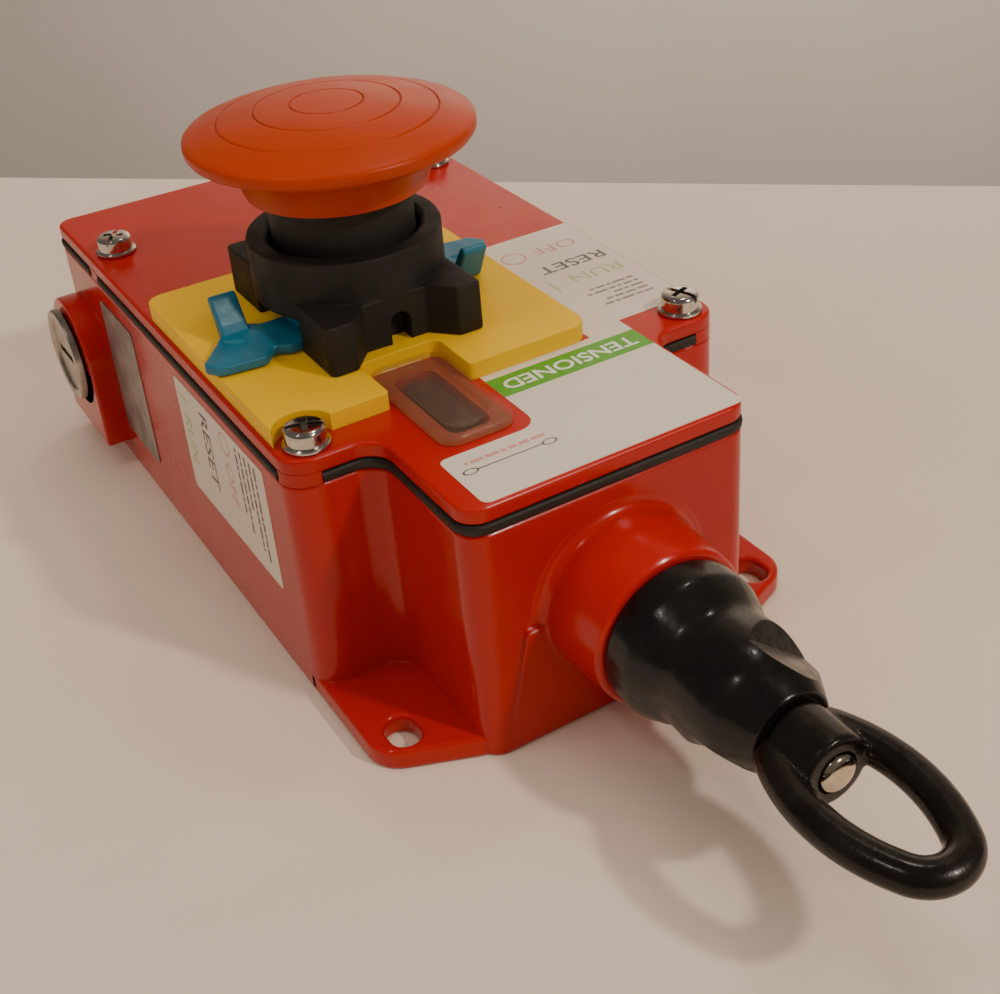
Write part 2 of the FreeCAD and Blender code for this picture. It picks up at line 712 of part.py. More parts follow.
def wing_outline(sign):
    reach = s.lever_tip
    spots = [
        (-2.0, -13.0), (-1.8, -21.1), (-3.8, -23.6), (-2.0, -30.2), (1.5, -32.6),
        (8.3, -38.2), (11.8, -35.6), (13.0, -26.1), (9.6, -23.1), (11.6, -20.0), (11.0, -13.0),
    ]
    return [(px + sign * a * (reach / 38.4), py + sign * b * (reach / 38.4)) for a, b in spots]


lever_parts = [rod("Z", lever_low, lever_high + s.lever_ring, px, py, s.guard_in - s.gap)]
tabs = []
for sign in (1.0, -1.0):
    wing = prism(fresh("wing"), wing_outline(sign), lever_low, lever_high, rounds=[((1, 8), s.lid_round)])
    lever_parts.append(wing)
    tab = new_body(fresh("tab"))
    sketch = sketch_on(tab, "XZ_Plane", ZERO)
    tall = plate_top + s.lever_tab
    outline = [
        (px - sign * 1.2, lever_low), (px - sign * 3.6, lever_low),
        (px - sign * 7.6, tall - 1), (px - sign * 7.0, tall), (px - sign * 5.2, tall - 0.4),
    ]
    draw_loop(sketch, outline)
    pad(tab, sketch, s.lever_tip * 0.156)
    bind(tab, "Placement.Base.y", py + (-24.0 if sign > 0 else 24.0 + 5.99) * (s.lever_tip / 38.4))
    lever_parts.append(tab)
pieces["reset_lever"] = cut(
    fuse(*lever_parts), rod("Z", lever_low - 1, lever_high + s.lever_ring + 1, px, py, s.neck_in + s.neck_wall + s.fit)
)

# Button: stem and mushroom cap with three fine grooves.
pieces["button_stem"] = fuse(
    rod("Z", lid_low - s.stem_drop, skirt_low + 4, px, py, s.stem_rad),
    rod("Z", lid_low - s.stem_drop - 6, lid_low - s.stem_drop + 1, px, py, s.stem_rad / 2),
)
dome_top = cap_rim + s.cap_dome
cap_profile = [
    (ZERO, skirt_low + 4), (s.stem_rad + 2, skirt_low + 4), (s.stem_rad + 2, skirt_low),
    (s.skirt_rad, skirt_low), (s.skirt_rad + 1.6, skirt_low + 5.2),
    (s.cap_rad - 1.6, cap_rim - s.cap_band), (s.cap_rad, cap_rim - s.cap_band + 0.8),
    (s.cap_rad, cap_rim - 0.7),
]
grooves = (0.756, 0.5, 0.25)
rise = []
for share in (0.97, 0.87, 0.776, 0.764, 0.756, 0.748, 0.736, 0.63, 0.52, 0.508, 0.5, 0.492, 0.48,
              0.38, 0.27, 0.258, 0.25, 0.242, 0.23, 0.12, 0.0):
    drop = 0.35 if share in grooves else 0.0
    rise.append((s.cap_rad * share, cap_rim + s.cap_dome * (1.0 - share * share) - drop))
pieces["mushroom_cap"] = revolve("mushroom_blank", cap_profile + rise, px, py, ZERO)

# Conduit plug in the left entry, with its sealing washer.
washer_face = port_face + 0.8
pieces["plug_washer"] = cut(
    rod("Y", -washer_face, -port_face, port_x, shaft_z, s.plug_rad - 1.5),
    rod("Y", -washer_face - 1, -port_face + 1, port_x, shaft_z, s.port_bore),
)
plug_face = washer_face + s.plug_thick
pieces["conduit_plug"] = cut(
    fuse(
        rod("Y", -plug_face, -washer_face, port_x, shaft_z, s.plug_rad),
        rod("Y", -washer_face - 0.2, -(s.wide - s.wall), port_x, shaft_z, s.port_bore - s.fit),
    ),
    rod("Y", -plug_face - 1, -plug_face + 1.1, port_x, shaft_z, s.plug_rad * 0.72),
    box(port_x - 7, port_x + 7, -plug_face - 1, -plug_face + 2.0, shaft_z - 1, shaft_z + 1),
)

# Shaft bush: flanged plastic bearing in the snout.
pieces["shaft_bush"] = cut(
    fuse(
        rod("X", bush_back, snout_wall, ZERO, shaft_z, s.bush_flange),
        rod("X", snout_wall - 1, snout_end - 1, ZERO, shaft_z, s.bush_rad - s.fit),
    ),
    rod("X", bush_back - 1, snout_end, ZERO, shaft_z, s.shaft_rad + s.fit),
)

# Pull shaft: turned rod with a thinner neck in the eye and a peened end.
shaft_profile = [
    (ZERO, s.shaft_back), (s.shaft_rad - 0.6, s.shaft_back), (s.shaft_rad, s.shaft_back + 0.6),
    (s.shaft_rad, eye_back - s.gap / 2), (s.neck_rad, eye_back - s.gap / 2),
    (s.neck_rad, eye_face - 1.4), (s.peen_rad, eye_face - 0.6), (s.peen_rad, eye_face),
    (s.peen_rad * 0.87, eye_face + 0.7), (s.peen_rad * 0.5, (eye_face + s.peen_rise) - 0.2), (ZERO, (eye_face + s.peen_rise)),
]
pieces["pull_shaft"] = revolve("shaft_blank", shaft_profile, ZERO, ZERO, shaft_z, axis="X")

# Swivel eye: boss and an oval ring of four torus arcs.
mid = eye_back + s.eye_mid
a, b, r = s.eye_long, s.eye_half, s.eye_turn
big = ((a - r) * (a - r) + b * b - r * r) / (2.0 * (b - r))
lift = big - b
turn_half = math.degrees(math.atan2(float(a - r), float(lift)))


def arc_bar(cx, cy, radius, start, sweep):
    """A bent round bar: part of a torus lying flat at the shaft's height."""
    thing = doc.addObject("Part::Torus", fresh("bend"))
    bind(thing, "Radius1", radius)
    bind(thing, "Radius2", s.limb)
    thing.Placement = FreeCAD.Placement(V(0, 0, 0), FreeCAD.Rotation(V(0, 0, 1), start))
    place_sizes = (cx, cy, shaft_z)
    for axis, size in zip("xyz", place_sizes):
        bind(thing, "Placement.Base." + axis, size)
    thing.Angle3 = sweep
    return thing


bars = [
    arc_bar(mid + a - r, ZERO, r, -(90 - turn_half), 180 - 2 * turn_half),
    arc_bar(mid, -lift, big, 90 - turn_half, 2 * turn_half),
    arc_bar(mid - a + r, ZERO, r, 90 + turn_half, 180 - 2 * turn_half),
    arc_bar(mid, lift, big, 270 - turn_half, 2 * turn_half),
]
eye_raw = fuse(rod("X", eye_back, eye_face, ZERO, shaft_z, s.eye_boss), *bars)
eye_trim = box(eye_back - 30, eye_back, -40.0, 40.0, ZERO, 80.0)
eye_bore = rod("X", eye_back - 1, eye_face + 1, ZERO, shaft_z, s.neck_rad + s.fit)
eye_sink = rod("X", eye_face - 1.5, eye_face + 1, ZERO, shaft_z, s.peen_rad + s.fit)
pieces["swivel_eye"] = cut(eye_raw, eye_trim, eye_bore, eye_sink)

# Boot: moulded rubber sleeve from the snout to the shaft, hollow inside.
skin = s.boot_skin
boot_profile = [
    (s.shaft_rad + s.fit, boot_end), (s.shaft_rad + s.fit, boot_end - 5.0),
    (s.boot_neck - skin, boot_end - 8.0), (s.boot_body - skin, boot_end - 16.0),
    (s.boot_body - skin, boot_start), (s.boot_flange, boot_start),
    (s.boot_flange, boot_start + 8.5), (s.boot_flange - 0.5, boot_start + 9.3),
    (s.boot_body, boot_start + 11.0), (s.boot_body - 0.2, boot_end - 15.5),
    (s.boot_body - 0.4, boot_end - 13.5), (s.boot_body - 1.3, boot_end - 11.0),
    (s.boot_neck + 1.0, boot_end - 8.0), (s.boot_neck, boot_end - 6.6),
    (s.boot_neck, boot_end - 3.2), (s.boot_neck - 1.0, boot_end - 2.0),
    (s.boot_neck - 2.2, boot_end - 0.8), (s.boot_neck - 3.3, boot_end),
]
boot_blank = revolve("boot_blank", boot_profile, ZERO, ZERO, shaft_z, axis="X")


def hexagon(x, apothem):
    """A hexagon across the shaft axis, given by half its width across the flats."""
    thing = doc.addObject("Part::RegularPolygon", fresh("hexagon"))
    thing.Polygon = 6
    bind(thing, "Circumradius", as_size(apothem) / math.cos(math.radians(30)))
    return place(thing, x, ZERO, shaft_z, turn=TURN["X"])


def hex_loft(x0, apothem0, x1, apothem1):
    thing = doc.addObject("Part::Loft", fresh("flats"))
    thing.Sections = [hexagon(x0, apothem0), hexagon(x1, apothem1)]
    thing.Solid = True
    thing.Ruled = True
    return thing


hex_from = boot_end - s.hex_start
hex_to = boot_end - s.hex_edge
boot_mould = fuse(
    rod("X", boot_start - 1, hex_from, ZERO, shaft_z, s.boot_flange + 1),
    hex_loft(hex_from, s.boot_body + 0.2, hex_to, s.hex_flat),
    hex_loft(hex_to, s.hex_flat, boot_end - 6.6, s.boot_neck - 1.0),
    rod("X", boot_end - 6.6, boot_end + 1, ZERO, shaft_z, s.boot_flange),
)
pieces["boot"] = common(boot_blank, boot_mould)

# Mechanism on the shaft: spring seat, main spring, cam block and indicator bracket.
pieces["spring_seat"] = cut(
    rod("X", seat_back, seat_front, ZERO, shaft_z, s.seat_rad),
    rod("X", seat_back - 1, seat_front + 1, ZERO, shaft_z, s.shaft_rad),
)
spring_span = s.spring_long
helix = doc.addObject("Part::Helix", fresh("helix"))
bind(helix, "Radius", s.coil_rad)
bind(helix, "Pitch", (spring_span - 2.0 * s.wire) / s.coil_turns)
bind(helix, "Height", spring_span - 2.0 * s.wire)
helix.SegmentLength = 1.0
place(helix, seat_front + s.wire, ZERO, shaft_z, turn=TURN["X"])
doc.recompute()
wire_circle = doc.addObject("Part::Circle", fresh("wire"))
bind(wire_circle, "Radius", s.wire)
wire_circle.Placement = FreeCAD.Placement(V(0, 0, 0), FreeCAD.Rotation(V(1, 0, 0), 90))
place(wire_circle, seat_front + s.wire, ZERO, shaft_z - s.coil_rad, turn=FreeCAD.Rotation(V(1, 0, 0), 90))
coil = doc.addObject("Part::Sweep", fresh("coil"))
coil.Sections = [wire_circle]
coil.Spine = (helix, [])
coil.Solid = True
coil.Frenet = True
pieces["main_spring"] = coil

slope = s.cam_slope


def cam_width(x):
    return s.cam_half + slope * (s.cam_mid - x)


cam_outline = [
    (s.cam_back, -cam_width(s.cam_back)), (s.cam_front, -cam_width(s.cam_front)),
    (s.cam_front, cam_width(s.cam_front)), (s.cam_back, cam_width(s.cam_back)),
]
pieces["cam_block"] = cut(
    prism("cam_blank", cam_outline, shaft_z - s.cam_tall / 2, shaft_z + s.cam_tall / 2),
    rod("X", s.cam_back - 1, s.cam_front + 1, ZERO, shaft_z, s.shaft_rad),
)
flag_left = (s.pane_left + s.pane_lip + 0.5)
flag_right = (s.pane_right - s.pane_lip - 0.5)
flag_top = s.rim - 2
flag_back = seat_back - s.flag_thick
pieces["indicator_flag"] = cut(
    fuse(
        box(flag_back, seat_back, flag_left, s.seat_rad, shaft_z - s.flag_half, shaft_z + s.flag_half),
        box(flag_back, seat_back, flag_left, flag_right, shaft_z - s.flag_half, flag_top),
        box(flag_back, seat_back + s.flag_reach, flag_left, flag_right, flag_top - 2, flag_top),
    ),
    rod("X", flag_back - 1, seat_back + 1, ZERO, shaft_z, s.shaft_rad),
)

# Carrier plate: folded sheet on the housing floor, its upright flange guides the shaft.
flange_back = s.block_back - 3
pieces["carrier_plate"] = cut(
    fuse(
        box(flange_back, s.block_front + 3, -s.block_out, s.block_out, s.floor, s.floor + s.carrier),
        box(flange_back, flange_back + s.carrier, -s.block_in + 5, s.block_in - 5, s.floor, shaft_z + 10),
    ),
    rod("X", flange_back - 1, flange_back + s.carrier + 1, ZERO, shaft_z, s.shaft_rad + s.fit),
)

# Contact blocks with their plungers and terminal screws, one each side of the cam.
for key, sign in (("left", -1.0), ("right", 1.0)):
    y0, y1 = (-s.block_out, -s.block_in) if sign < 0 else (s.block_in, s.block_out)
    low = s.floor + s.carrier
    block = box(s.block_back, s.block_front, y0, y1, low, s.block_top)
    step_y0, step_y1 = (-s.block_in - 8, -s.block_in + 1) if sign < 0 else (s.block_in - 1, s.block_in + 8)
    step = box(s.block_back - 1, s.block_front + 1, step_y0, step_y1, s.block_top - 8, s.block_top + 1)
    bore_y0, bore_y1 = (-s.block_in - 11, -s.block_in + 1) if sign < 0 else (s.block_in - 1, s.block_in + 11)
    guide = rod("Y", bore_y0, bore_y1, s.cam_mid, shaft_z, s.plunger_rad + s.fit)
    terminals = []
    screws = []
    for spot in (0.16, 0.39, 0.61, 0.84):
        tx = s.block_back + (s.block_front - s.block_back) * spot
        ty = sign * (s.block_out - s.term_head - 1.5)
        terminals.append(rod("Z", s.block_top - s.term_deep - 1, s.block_top + 1, tx, ty, s.term_rad + s.fit))
        head = rod("Z", s.block_top, s.block_top + s.term_tall, tx, ty, s.term_head)
        shank = rod("Z", s.block_top - s.term_deep, s.block_top + 0.5, tx, ty, s.term_rad)
        slot = box(tx - 0.4, tx + 0.4, ty - s.term_head - 1, ty + s.term_head + 1,
                   s.block_top + s.term_tall - 1, s.block_top + s.term_tall + 1)
        screws.append(cut(fuse(head, shank), slot))
    pieces["contact_block_" + key] = cut(block, step, guide, *terminals)
    group = doc.addObject("Part::Compound", fresh("screws"))
    group.Links = screws
    pieces["terminal_screws_" + key] = group
    tip_y = s.cam_half + s.gap / 2
    if sign < 0:
        stem = rod("Y", -s.block_in - 8, -tip_y - 2, s.cam_mid, shaft_z, s.plunger_rad)
        nib = taper("Y", -tip_y - 2, -tip_y, s.cam_mid, shaft_z, s.plunger_rad, as_size(0.5))
    else:
        stem = rod("Y", tip_y + 2, s.block_in + 8, s.cam_mid, shaft_z, s.plunger_rad)
        nib = taper("Y", tip_y, tip_y + 2, s.cam_mid, shaft_z, as_size(0.5), s.plunger_rad)
    pieces["plunger_" + key] = fuse(stem, nib)

# Earth screw on the floor near the entries.
earth_x = port_x
pieces["earth_screw"] = cut(
    fuse(
        rod("Z", s.floor, s.floor + 1, earth_x, ZERO, as_size(5.0)),
        rod("Z", s.floor + 1, s.floor + 3.6, earth_x, ZERO, as_size(3.6)),
    ),
    box(earth_x - 5, earth_x + 5, -0.5, 0.5, s.floor + 2.4, s.floor + 4),
)

for name, thing in pieces.items():
    thing.Label = name
doc.recompute()

for thing in doc.Objects:
    if "Invalid" in thing.State or "Error" in thing.State:
        raise RuntimeError("failed: %s (%s)" % (thing.Name, thing.Label))
for name, thing in pieces.items():
    shape = thing.Shape
    if shape.isNull() or not shape.isValid() or shape.Volume <= 0:
        raise RuntimeError("bad shape: " + name)
    print("%-26s solids %d faces %3d volume %.1f" % (name, len(shape.Solids), len(shape.Faces), shape.Volume))
for name, thing in pieces.items():
    thing.Shape.exportStep(os.path.join("parts", name + ".step"))
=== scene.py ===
import bmesh
import bpy
import math
from mathutils import Matrix, Vector


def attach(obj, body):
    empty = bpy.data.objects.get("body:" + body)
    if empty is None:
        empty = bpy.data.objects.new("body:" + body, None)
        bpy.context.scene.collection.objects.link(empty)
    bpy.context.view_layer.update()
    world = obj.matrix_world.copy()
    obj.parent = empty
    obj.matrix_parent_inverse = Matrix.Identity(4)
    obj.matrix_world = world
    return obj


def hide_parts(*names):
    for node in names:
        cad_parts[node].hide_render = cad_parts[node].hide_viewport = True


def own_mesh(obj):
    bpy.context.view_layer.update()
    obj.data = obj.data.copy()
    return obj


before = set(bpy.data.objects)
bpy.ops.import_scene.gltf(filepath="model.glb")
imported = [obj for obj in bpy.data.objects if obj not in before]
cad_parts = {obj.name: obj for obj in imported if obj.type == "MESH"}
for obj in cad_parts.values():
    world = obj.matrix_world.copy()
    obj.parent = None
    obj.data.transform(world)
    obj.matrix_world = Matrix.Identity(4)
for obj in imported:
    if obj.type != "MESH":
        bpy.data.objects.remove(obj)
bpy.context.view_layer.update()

bl_info = {
    "name": "Rope pull switch",
    "version": (1, 0, 0),
    "blender": (4, 5, 0),
    "location": "View3D > Sidebar > Pull switch",
    "description": "Dresses the packed model of a rope pull switch",
    "category": "Object",
}

MM = 0.001
WELD = 1e-6

# Places in millimetres, in the frame's own axes.
REAR, SHOULDER, NOSE = -80.1, 68.1, 101.9
WIDE, SLIM = 51.4, 32.4
RIM, LID_LOW, LID_TOP, PLATE_TOP = 53.4, 55.8, 59.5, 63.5
SHAFT_Z = 29.2
PORT_X, PORT_FACE = -65.3, 58.0
BUTTON = (23.2, -14.4)
SNOUT_END, BOOT_START, BOOT_END = 119.0, 119.3, 153.2
EYE_BACK, EYE_FACE = 153.5, 164.5
SCREWS = {"fl": (62.4, -44.6), "fr": (62.4, 44.6), "rl": (-50.5, -44.6), "rr": (-50.5, 44.6)}
PANE = (47.2, 81.4, -24.6, -7.7)


class SwitchSizes(bpy.types.PropertyGroup):
    edge: bpy.props.FloatProperty(
        name="Casting edge", description="How far the casting's edges are rounded",
        default=0.7 * MM, min=0.0001, max=0.002, subtype="DISTANCE", unit="LENGTH")
    film: bpy.props.FloatProperty(
        name="Label film", description="Thickness of the printed labels",
        default=0.1 * MM, min=0.00002, max=0.0005, subtype="DISTANCE", unit="LENGTH")
    print_rise: bpy.props.FloatProperty(
        name="Print", description="How far the printing stands off its label",
        default=0.012 * MM, min=0.000005, max=0.0001, subtype="DISTANCE", unit="LENGTH")
    gasket_bulge: bpy.props.FloatProperty(
        name="Gasket bulge", description="How far the squeezed gasket stands out of the joint",
        default=0.3 * MM, min=0.0, max=0.001, subtype="DISTANCE", unit="LENGTH")


class SwitchColours(bpy.types.PropertyGroup):
    enamel: bpy.props.StringProperty(
        name="Red enamel", description="Colour of the housing and cover, as a hex value", default="#B31409")
    plate: bpy.props.StringProperty(
        name="Yellow plate", description="Colour of the plate under the button, as a hex value",
        default="#EDBB0A")
    head: bpy.props.StringProperty(
        name="Mushroom head", description="Colour of the stop button, as a hex value", default="#B2370A")
    lever: bpy.props.StringProperty(
        name="Reset lever", description="Colour of the reset lever, as a hex value", default="#17708C")
    film: bpy.props.StringProperty(
        name="Label film", description="Ground colour of the printed labels, as a hex value",
        default="#D9CFBE")
    band: bpy.props.StringProperty(
        name="Tension band", description="Colour of the band beside the window, as a hex value",
        default="#57A12A")


# Modelling by hand: small steps that the pieces share.

def clear():
    """Ends any editing and leaves nothing selected."""
    if bpy.context.object and bpy.context.object.mode != "OBJECT":
        bpy.ops.object.mode_set(mode="OBJECT")
    bpy.ops.object.select_all(action="DESELECT")


def only(piece):
    clear()
    bpy.context.view_layer.objects.active = piece
    piece.select_set(True)


def pen(name, points):
    """Draws a line from corner to corner with one vertex and stays in edit mode."""
    clear()
    bpy.ops.mesh.primitive_plane_add(size=MM, location=(0, 0, 0))
    piece = bpy.context.object
    piece.name = piece.data.name = name
    bpy.ops.object.mode_set(mode="EDIT")
    bpy.ops.mesh.select_mode(type="VERT")
    bpy.ops.mesh.select_all(action="SELECT")
    bpy.ops.mesh.merge(type="CENTER")
    here = Vector((0, 0, 0))
    for i, point in enumerate(points):
        step = Vector(point) * MM - here
        if i == 0:
            bpy.ops.transform.translate(value=step)
        else:
            bpy.ops.mesh.extrude_vertices_move(TRANSFORM_OT_translate={"value": step})
        here += step
    return piece


def pick(piece, wanted, faces=False):
    """Selects the vertices or faces whose place, in millimetres, is wanted."""
    bpy.ops.mesh.select_mode(type="FACE" if faces else "VERT")
    bpy.ops.mesh.select_all(action="DESELECT")
    mesh = bmesh.from_edit_mesh(piece.data)
    for part in mesh.faces if faces else mesh.verts:
        place = (part.calc_center_median() if faces else part.co) / MM
        if wanted(place, part):
            part.select_set(True)
    mesh.select_flush_mode()
    bmesh.update_edit_mesh(piece.data)


def round_corner(piece, x, y, radius, inner, steps=7):
    """Rounds one corner of a flat outline; inner is the angle between its two sides."""
    pick(piece, lambda p, part: abs(p.x - x) < 0.01 and abs(p.y - y) < 0.01)
    reach = radius / math.tan(inner / 2)
    bpy.ops.mesh.bevel(offset=reach * MM, segments=steps, affect="VERTICES")


def slab(name, outline, low, high, rounds=(), steps=7):
    """A flat piece: drawn, filled, its corners rounded, then raised to its thickness."""
    points = [(x, y, low) for x, y in outline]
    piece = pen(name, points + points[:1])
    bpy.ops.mesh.select_all(action="SELECT")
    bpy.ops.mesh.remove_doubles(threshold=WELD)
    bpy.ops.mesh.edge_face_add()
    count = len(outline)
    for index, radius in rounds:
        here = Vector(outline[index])
        before = (Vector(outline[index - 1]) - here).normalized()
        after = (Vector(outline[(index + 1) % count]) - here).normalized()
        inner = math.acos(max(-1.0, min(1.0, before.dot(after))))
        round_corner(piece, here.x, here.y, radius, inner, steps)
    if high > low:
        bpy.ops.mesh.select_mode(type="FACE")
        bpy.ops.mesh.select_all(action="SELECT")
        bpy.ops.mesh.extrude_region_move(TRANSFORM_OT_translate={"value": (0, 0, (high - low) * MM)})
    bpy.ops.mesh.select_all(action="SELECT")
    bpy.ops.mesh.normals_make_consistent(inside=False)
    bpy.ops.object.mode_set(mode="OBJECT")
    return piece


def block(name, x0, x1, y0, y1, z0, z1, radius=0.0):
    corners = [(x0, y0), (x1, y0), (x1, y1), (x0, y1)]
    return slab(name, corners, z0, z1, [(i, radius) for i in range(4)] if radius else (), steps=9)


AXES = {
    "X": (Vector((1, 0, 0)), Vector((0, 0, 1))),
    "Y": (Vector((0, 1, 0)), Vector((1, 0, 0))),
    "Z": (Vector((0, 0, 1)), Vector((1, 0, 0))),
}


def turned(name, profile, centre, axis="Z", steps=96):
    """A turned piece: half its profile, as radius and place along the axis, spun once round."""
    along, out = AXES[axis]
    centre = Vector(centre)
    piece = pen(name, [centre + out * r + along * (h - centre.dot(along)) for r, h in profile])
    bpy.ops.mesh.select_all(action="SELECT")
    bpy.ops.mesh.spin(steps=steps, angle=math.tau, center=centre * MM, axis=along)
    bpy.ops.mesh.select_all(action="SELECT")
    bpy.ops.mesh.remove_doubles(threshold=WELD)
    bpy.ops.mesh.select_all(action="SELECT")
    bpy.ops.mesh.normals_make_consistent(inside=False)
    bpy.ops.object.mode_set(mode="OBJECT")
    return piece


def pin(name, axis, start, end, centre, radius, steps=48):
    return turned(name, [(0, start), (radius, start), (radius, end), (0, end)], centre, axis, steps)


def apply(piece, kind, **settings):
    """Puts a modifier on a piece and applies it."""
    only(piece)
    change = piece.modifiers.new("change", kind)
    for key, value in settings.items():
        setattr(change, key, value)
    bpy.ops.object.modifier_apply(modifier=change.name)


def soften(piece, width, steps=3, angle=32):
    apply(piece, "BEVEL", width=width * MM, segments=steps, limit_method="ANGLE",
          angle_limit=math.radians(angle), use_clamp_overlap=True)


def cut(piece, *tools, kind="DIFFERENCE"):
    for tool in tools:
        apply(piece, "BOOLEAN", object=tool, operation=kind, solver="EXACT")
        bpy.data.objects.remove(tool, do_unlink=True)
    return piece


def join(name, *parts):
    clear()
    bpy.context.view_layer.objects.active = parts[0]
    for part in parts:
        part.select_set(True)
    bpy.ops.object.join()
    parts[0].name = parts[0].data.name = name
    return parts[0]


def twin(piece, name, move=(0, 0, 0), half_turn=None):
    """A copy with its own mesh, moved, or turned half round an upright axis."""
    only(piece)
    bpy.ops.object.duplicate()
    copy = bpy.context.object
    copy.name = copy.data.name = name
    if half_turn:
        spot = Vector((half_turn[0], half_turn[1], 0)) * MM
        copy.data.transform(Matrix.Translation(spot) @ Matrix.Rotation(math.pi, 4, "Z")
                            @ Matrix.Translation(-spot))
    copy.data.transform(Matrix.Translation(Vector(move) * MM))
    return copy


def mirrored(piece, name):
    """A copy on the other side of the switch's middle plane."""
    copy = twin(piece, name)
    only(copy)
    copy.scale = (1, -1, 1)
    bpy.ops.object.transform_apply(location=True, rotation=True, scale=True)
    bpy.ops.object.mode_set(mode="EDIT")
    bpy.ops.mesh.select_all(action="SELECT")
    bpy.ops.mesh.normals_make_consistent(inside=False)
    bpy.ops.object.mode_set(mode="OBJECT")
    return copy


def laid(piece, origin, right, up):
    """Lays a flat piece drawn at the origin onto a face of the switch."""
    right, up = Vector(right), Vector(up)
    normal = right.cross(up)
    turn = Matrix((right, up, normal)).transposed().to_4x4()
    only(piece)
    piece.matrix_world = Matrix.Translation(Vector(origin) * MM) @ turn @ piece.matrix_world
    bpy.ops.object.transform_apply(location=True, rotation=True, scale=True)
    return piece


def done(piece, finish, body, *nodes, slot=None, angle=35, weighted=True):
    """Smooths a piece, gives it its finish and sets it on its body in place of the plain nodes."""
    only(piece)
    piece.data.materials.clear()
    piece.data.materials.append(finish)
    bpy.ops.object.shade_smooth_by_angle(angle=math.radians(angle))
    if weighted:
        apply(piece, "WEIGHTED_NORMAL", keep_sharp=True, weight=80)
    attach(piece, body)
    if nodes:
        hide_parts(*nodes)
    return piece


# Finishes.

def linear(code):
    """An sRGB hex value as linear red, green and blue with full cover."""
    parts = [int(code[i:i + 2], 16) / 255 for i in (1, 3, 5)]
    return [p / 12.92 if p <= 0.04045 else ((p + 0.055) / 1.055) ** 2.4 for p in parts] + [1.0]


def add(tree, kind, sockets=None, **settings):
    """Adds a shader node with its settings, and gives each named input its value or its link."""
    made = tree.nodes.new("ShaderNode" + kind)
    for key, value in settings.items():
        setattr(made, key, value)
    for key, value in (sockets or {}).items():
        if isinstance(value, bpy.types.NodeSocket):
            tree.links.new(value, made.inputs[key])
        else:
            made.inputs[key].default_value = value
    return made


def begin(name, sockets):
    """A new finish whose plain numbers sit on its shader."""
    finish = bpy.data.materials.new(name)
    finish.use_nodes = True
    tree = finish.node_tree
    tree.nodes.clear()
    shader = add(tree, "BsdfPrincipled", sockets)
    add(tree, "OutputMaterial", {"Surface": shader.outputs[0]})
    return finish, tree, shader


def tint(tree, shader, size, one, two, detail=3.0, spread=0.18):
    """Lets the colour drift between two close shades over patches of a size in millimetres."""
    where = add(tree, "TexCoord").outputs["Object"]
    cloud = add(tree, "TexNoise", {"Vector": where, "Scale": 1 / (size * MM), "Detail": detail})
    share = add(tree, "MapRange", {"Value": cloud.outputs["Fac"], "From Min": 0.5 - spread,
                                   "From Max": 0.5 + spread})
    mixed = add(tree, "Mix", {0: share.outputs[0], 6: linear(one), 7: linear(two)}, data_type="RGBA")
    tree.links.new(mixed.outputs[2], shader.inputs["Base Color"])


def gloss(tree, shader, size, low, high, detail=4.0):
    """Lets the roughness drift between two values, as handling and moulding leave it."""
    where = add(tree, "TexCoord").outputs["Object"]
    cloud = add(tree, "TexNoise", {"Vector": where, "Scale": 1 / (size * MM), "Detail": detail})
    share = add(tree, "MapRange", {"Value": cloud.outputs["Fac"], "From Min": 0.3, "From Max": 0.7,
                                   "To Min": low, "To Max": high})
    tree.links.new(share.outputs[0], shader.inputs["Roughness"])


def relief(tree, shader, layers, rounding=0.0):
    """The fine shape of a surface: layers of size, height in millimetres and detail, over rounded edges."""
    where = add(tree, "TexCoord").outputs["Object"]
    normal = None
    if rounding:
        normal = add(tree, "Bevel", {"Radius": rounding * MM}, samples=6).outputs["Normal"]
    for size, height, detail in layers:
        grain = add(tree, "TexNoise", {"Vector": where, "Scale": 1 / (size * MM), "Detail": detail})
        sockets = {"Height": grain.outputs["Fac"], "Distance": height * MM, "Strength": 1.0}
        if normal is not None:
            sockets["Normal"] = normal
        normal = add(tree, "Bump", sockets).outputs["Normal"]
    tree.links.new(normal, shader.inputs["Normal"])


def shade(code, factor):
    """The same hue, lighter or darker."""
    parts = [int(code[i:i + 2], 16) for i in (1, 3, 5)]
    return "#" + "".join("%02X" % max(0, min(255, round(p * factor))) for p in parts)


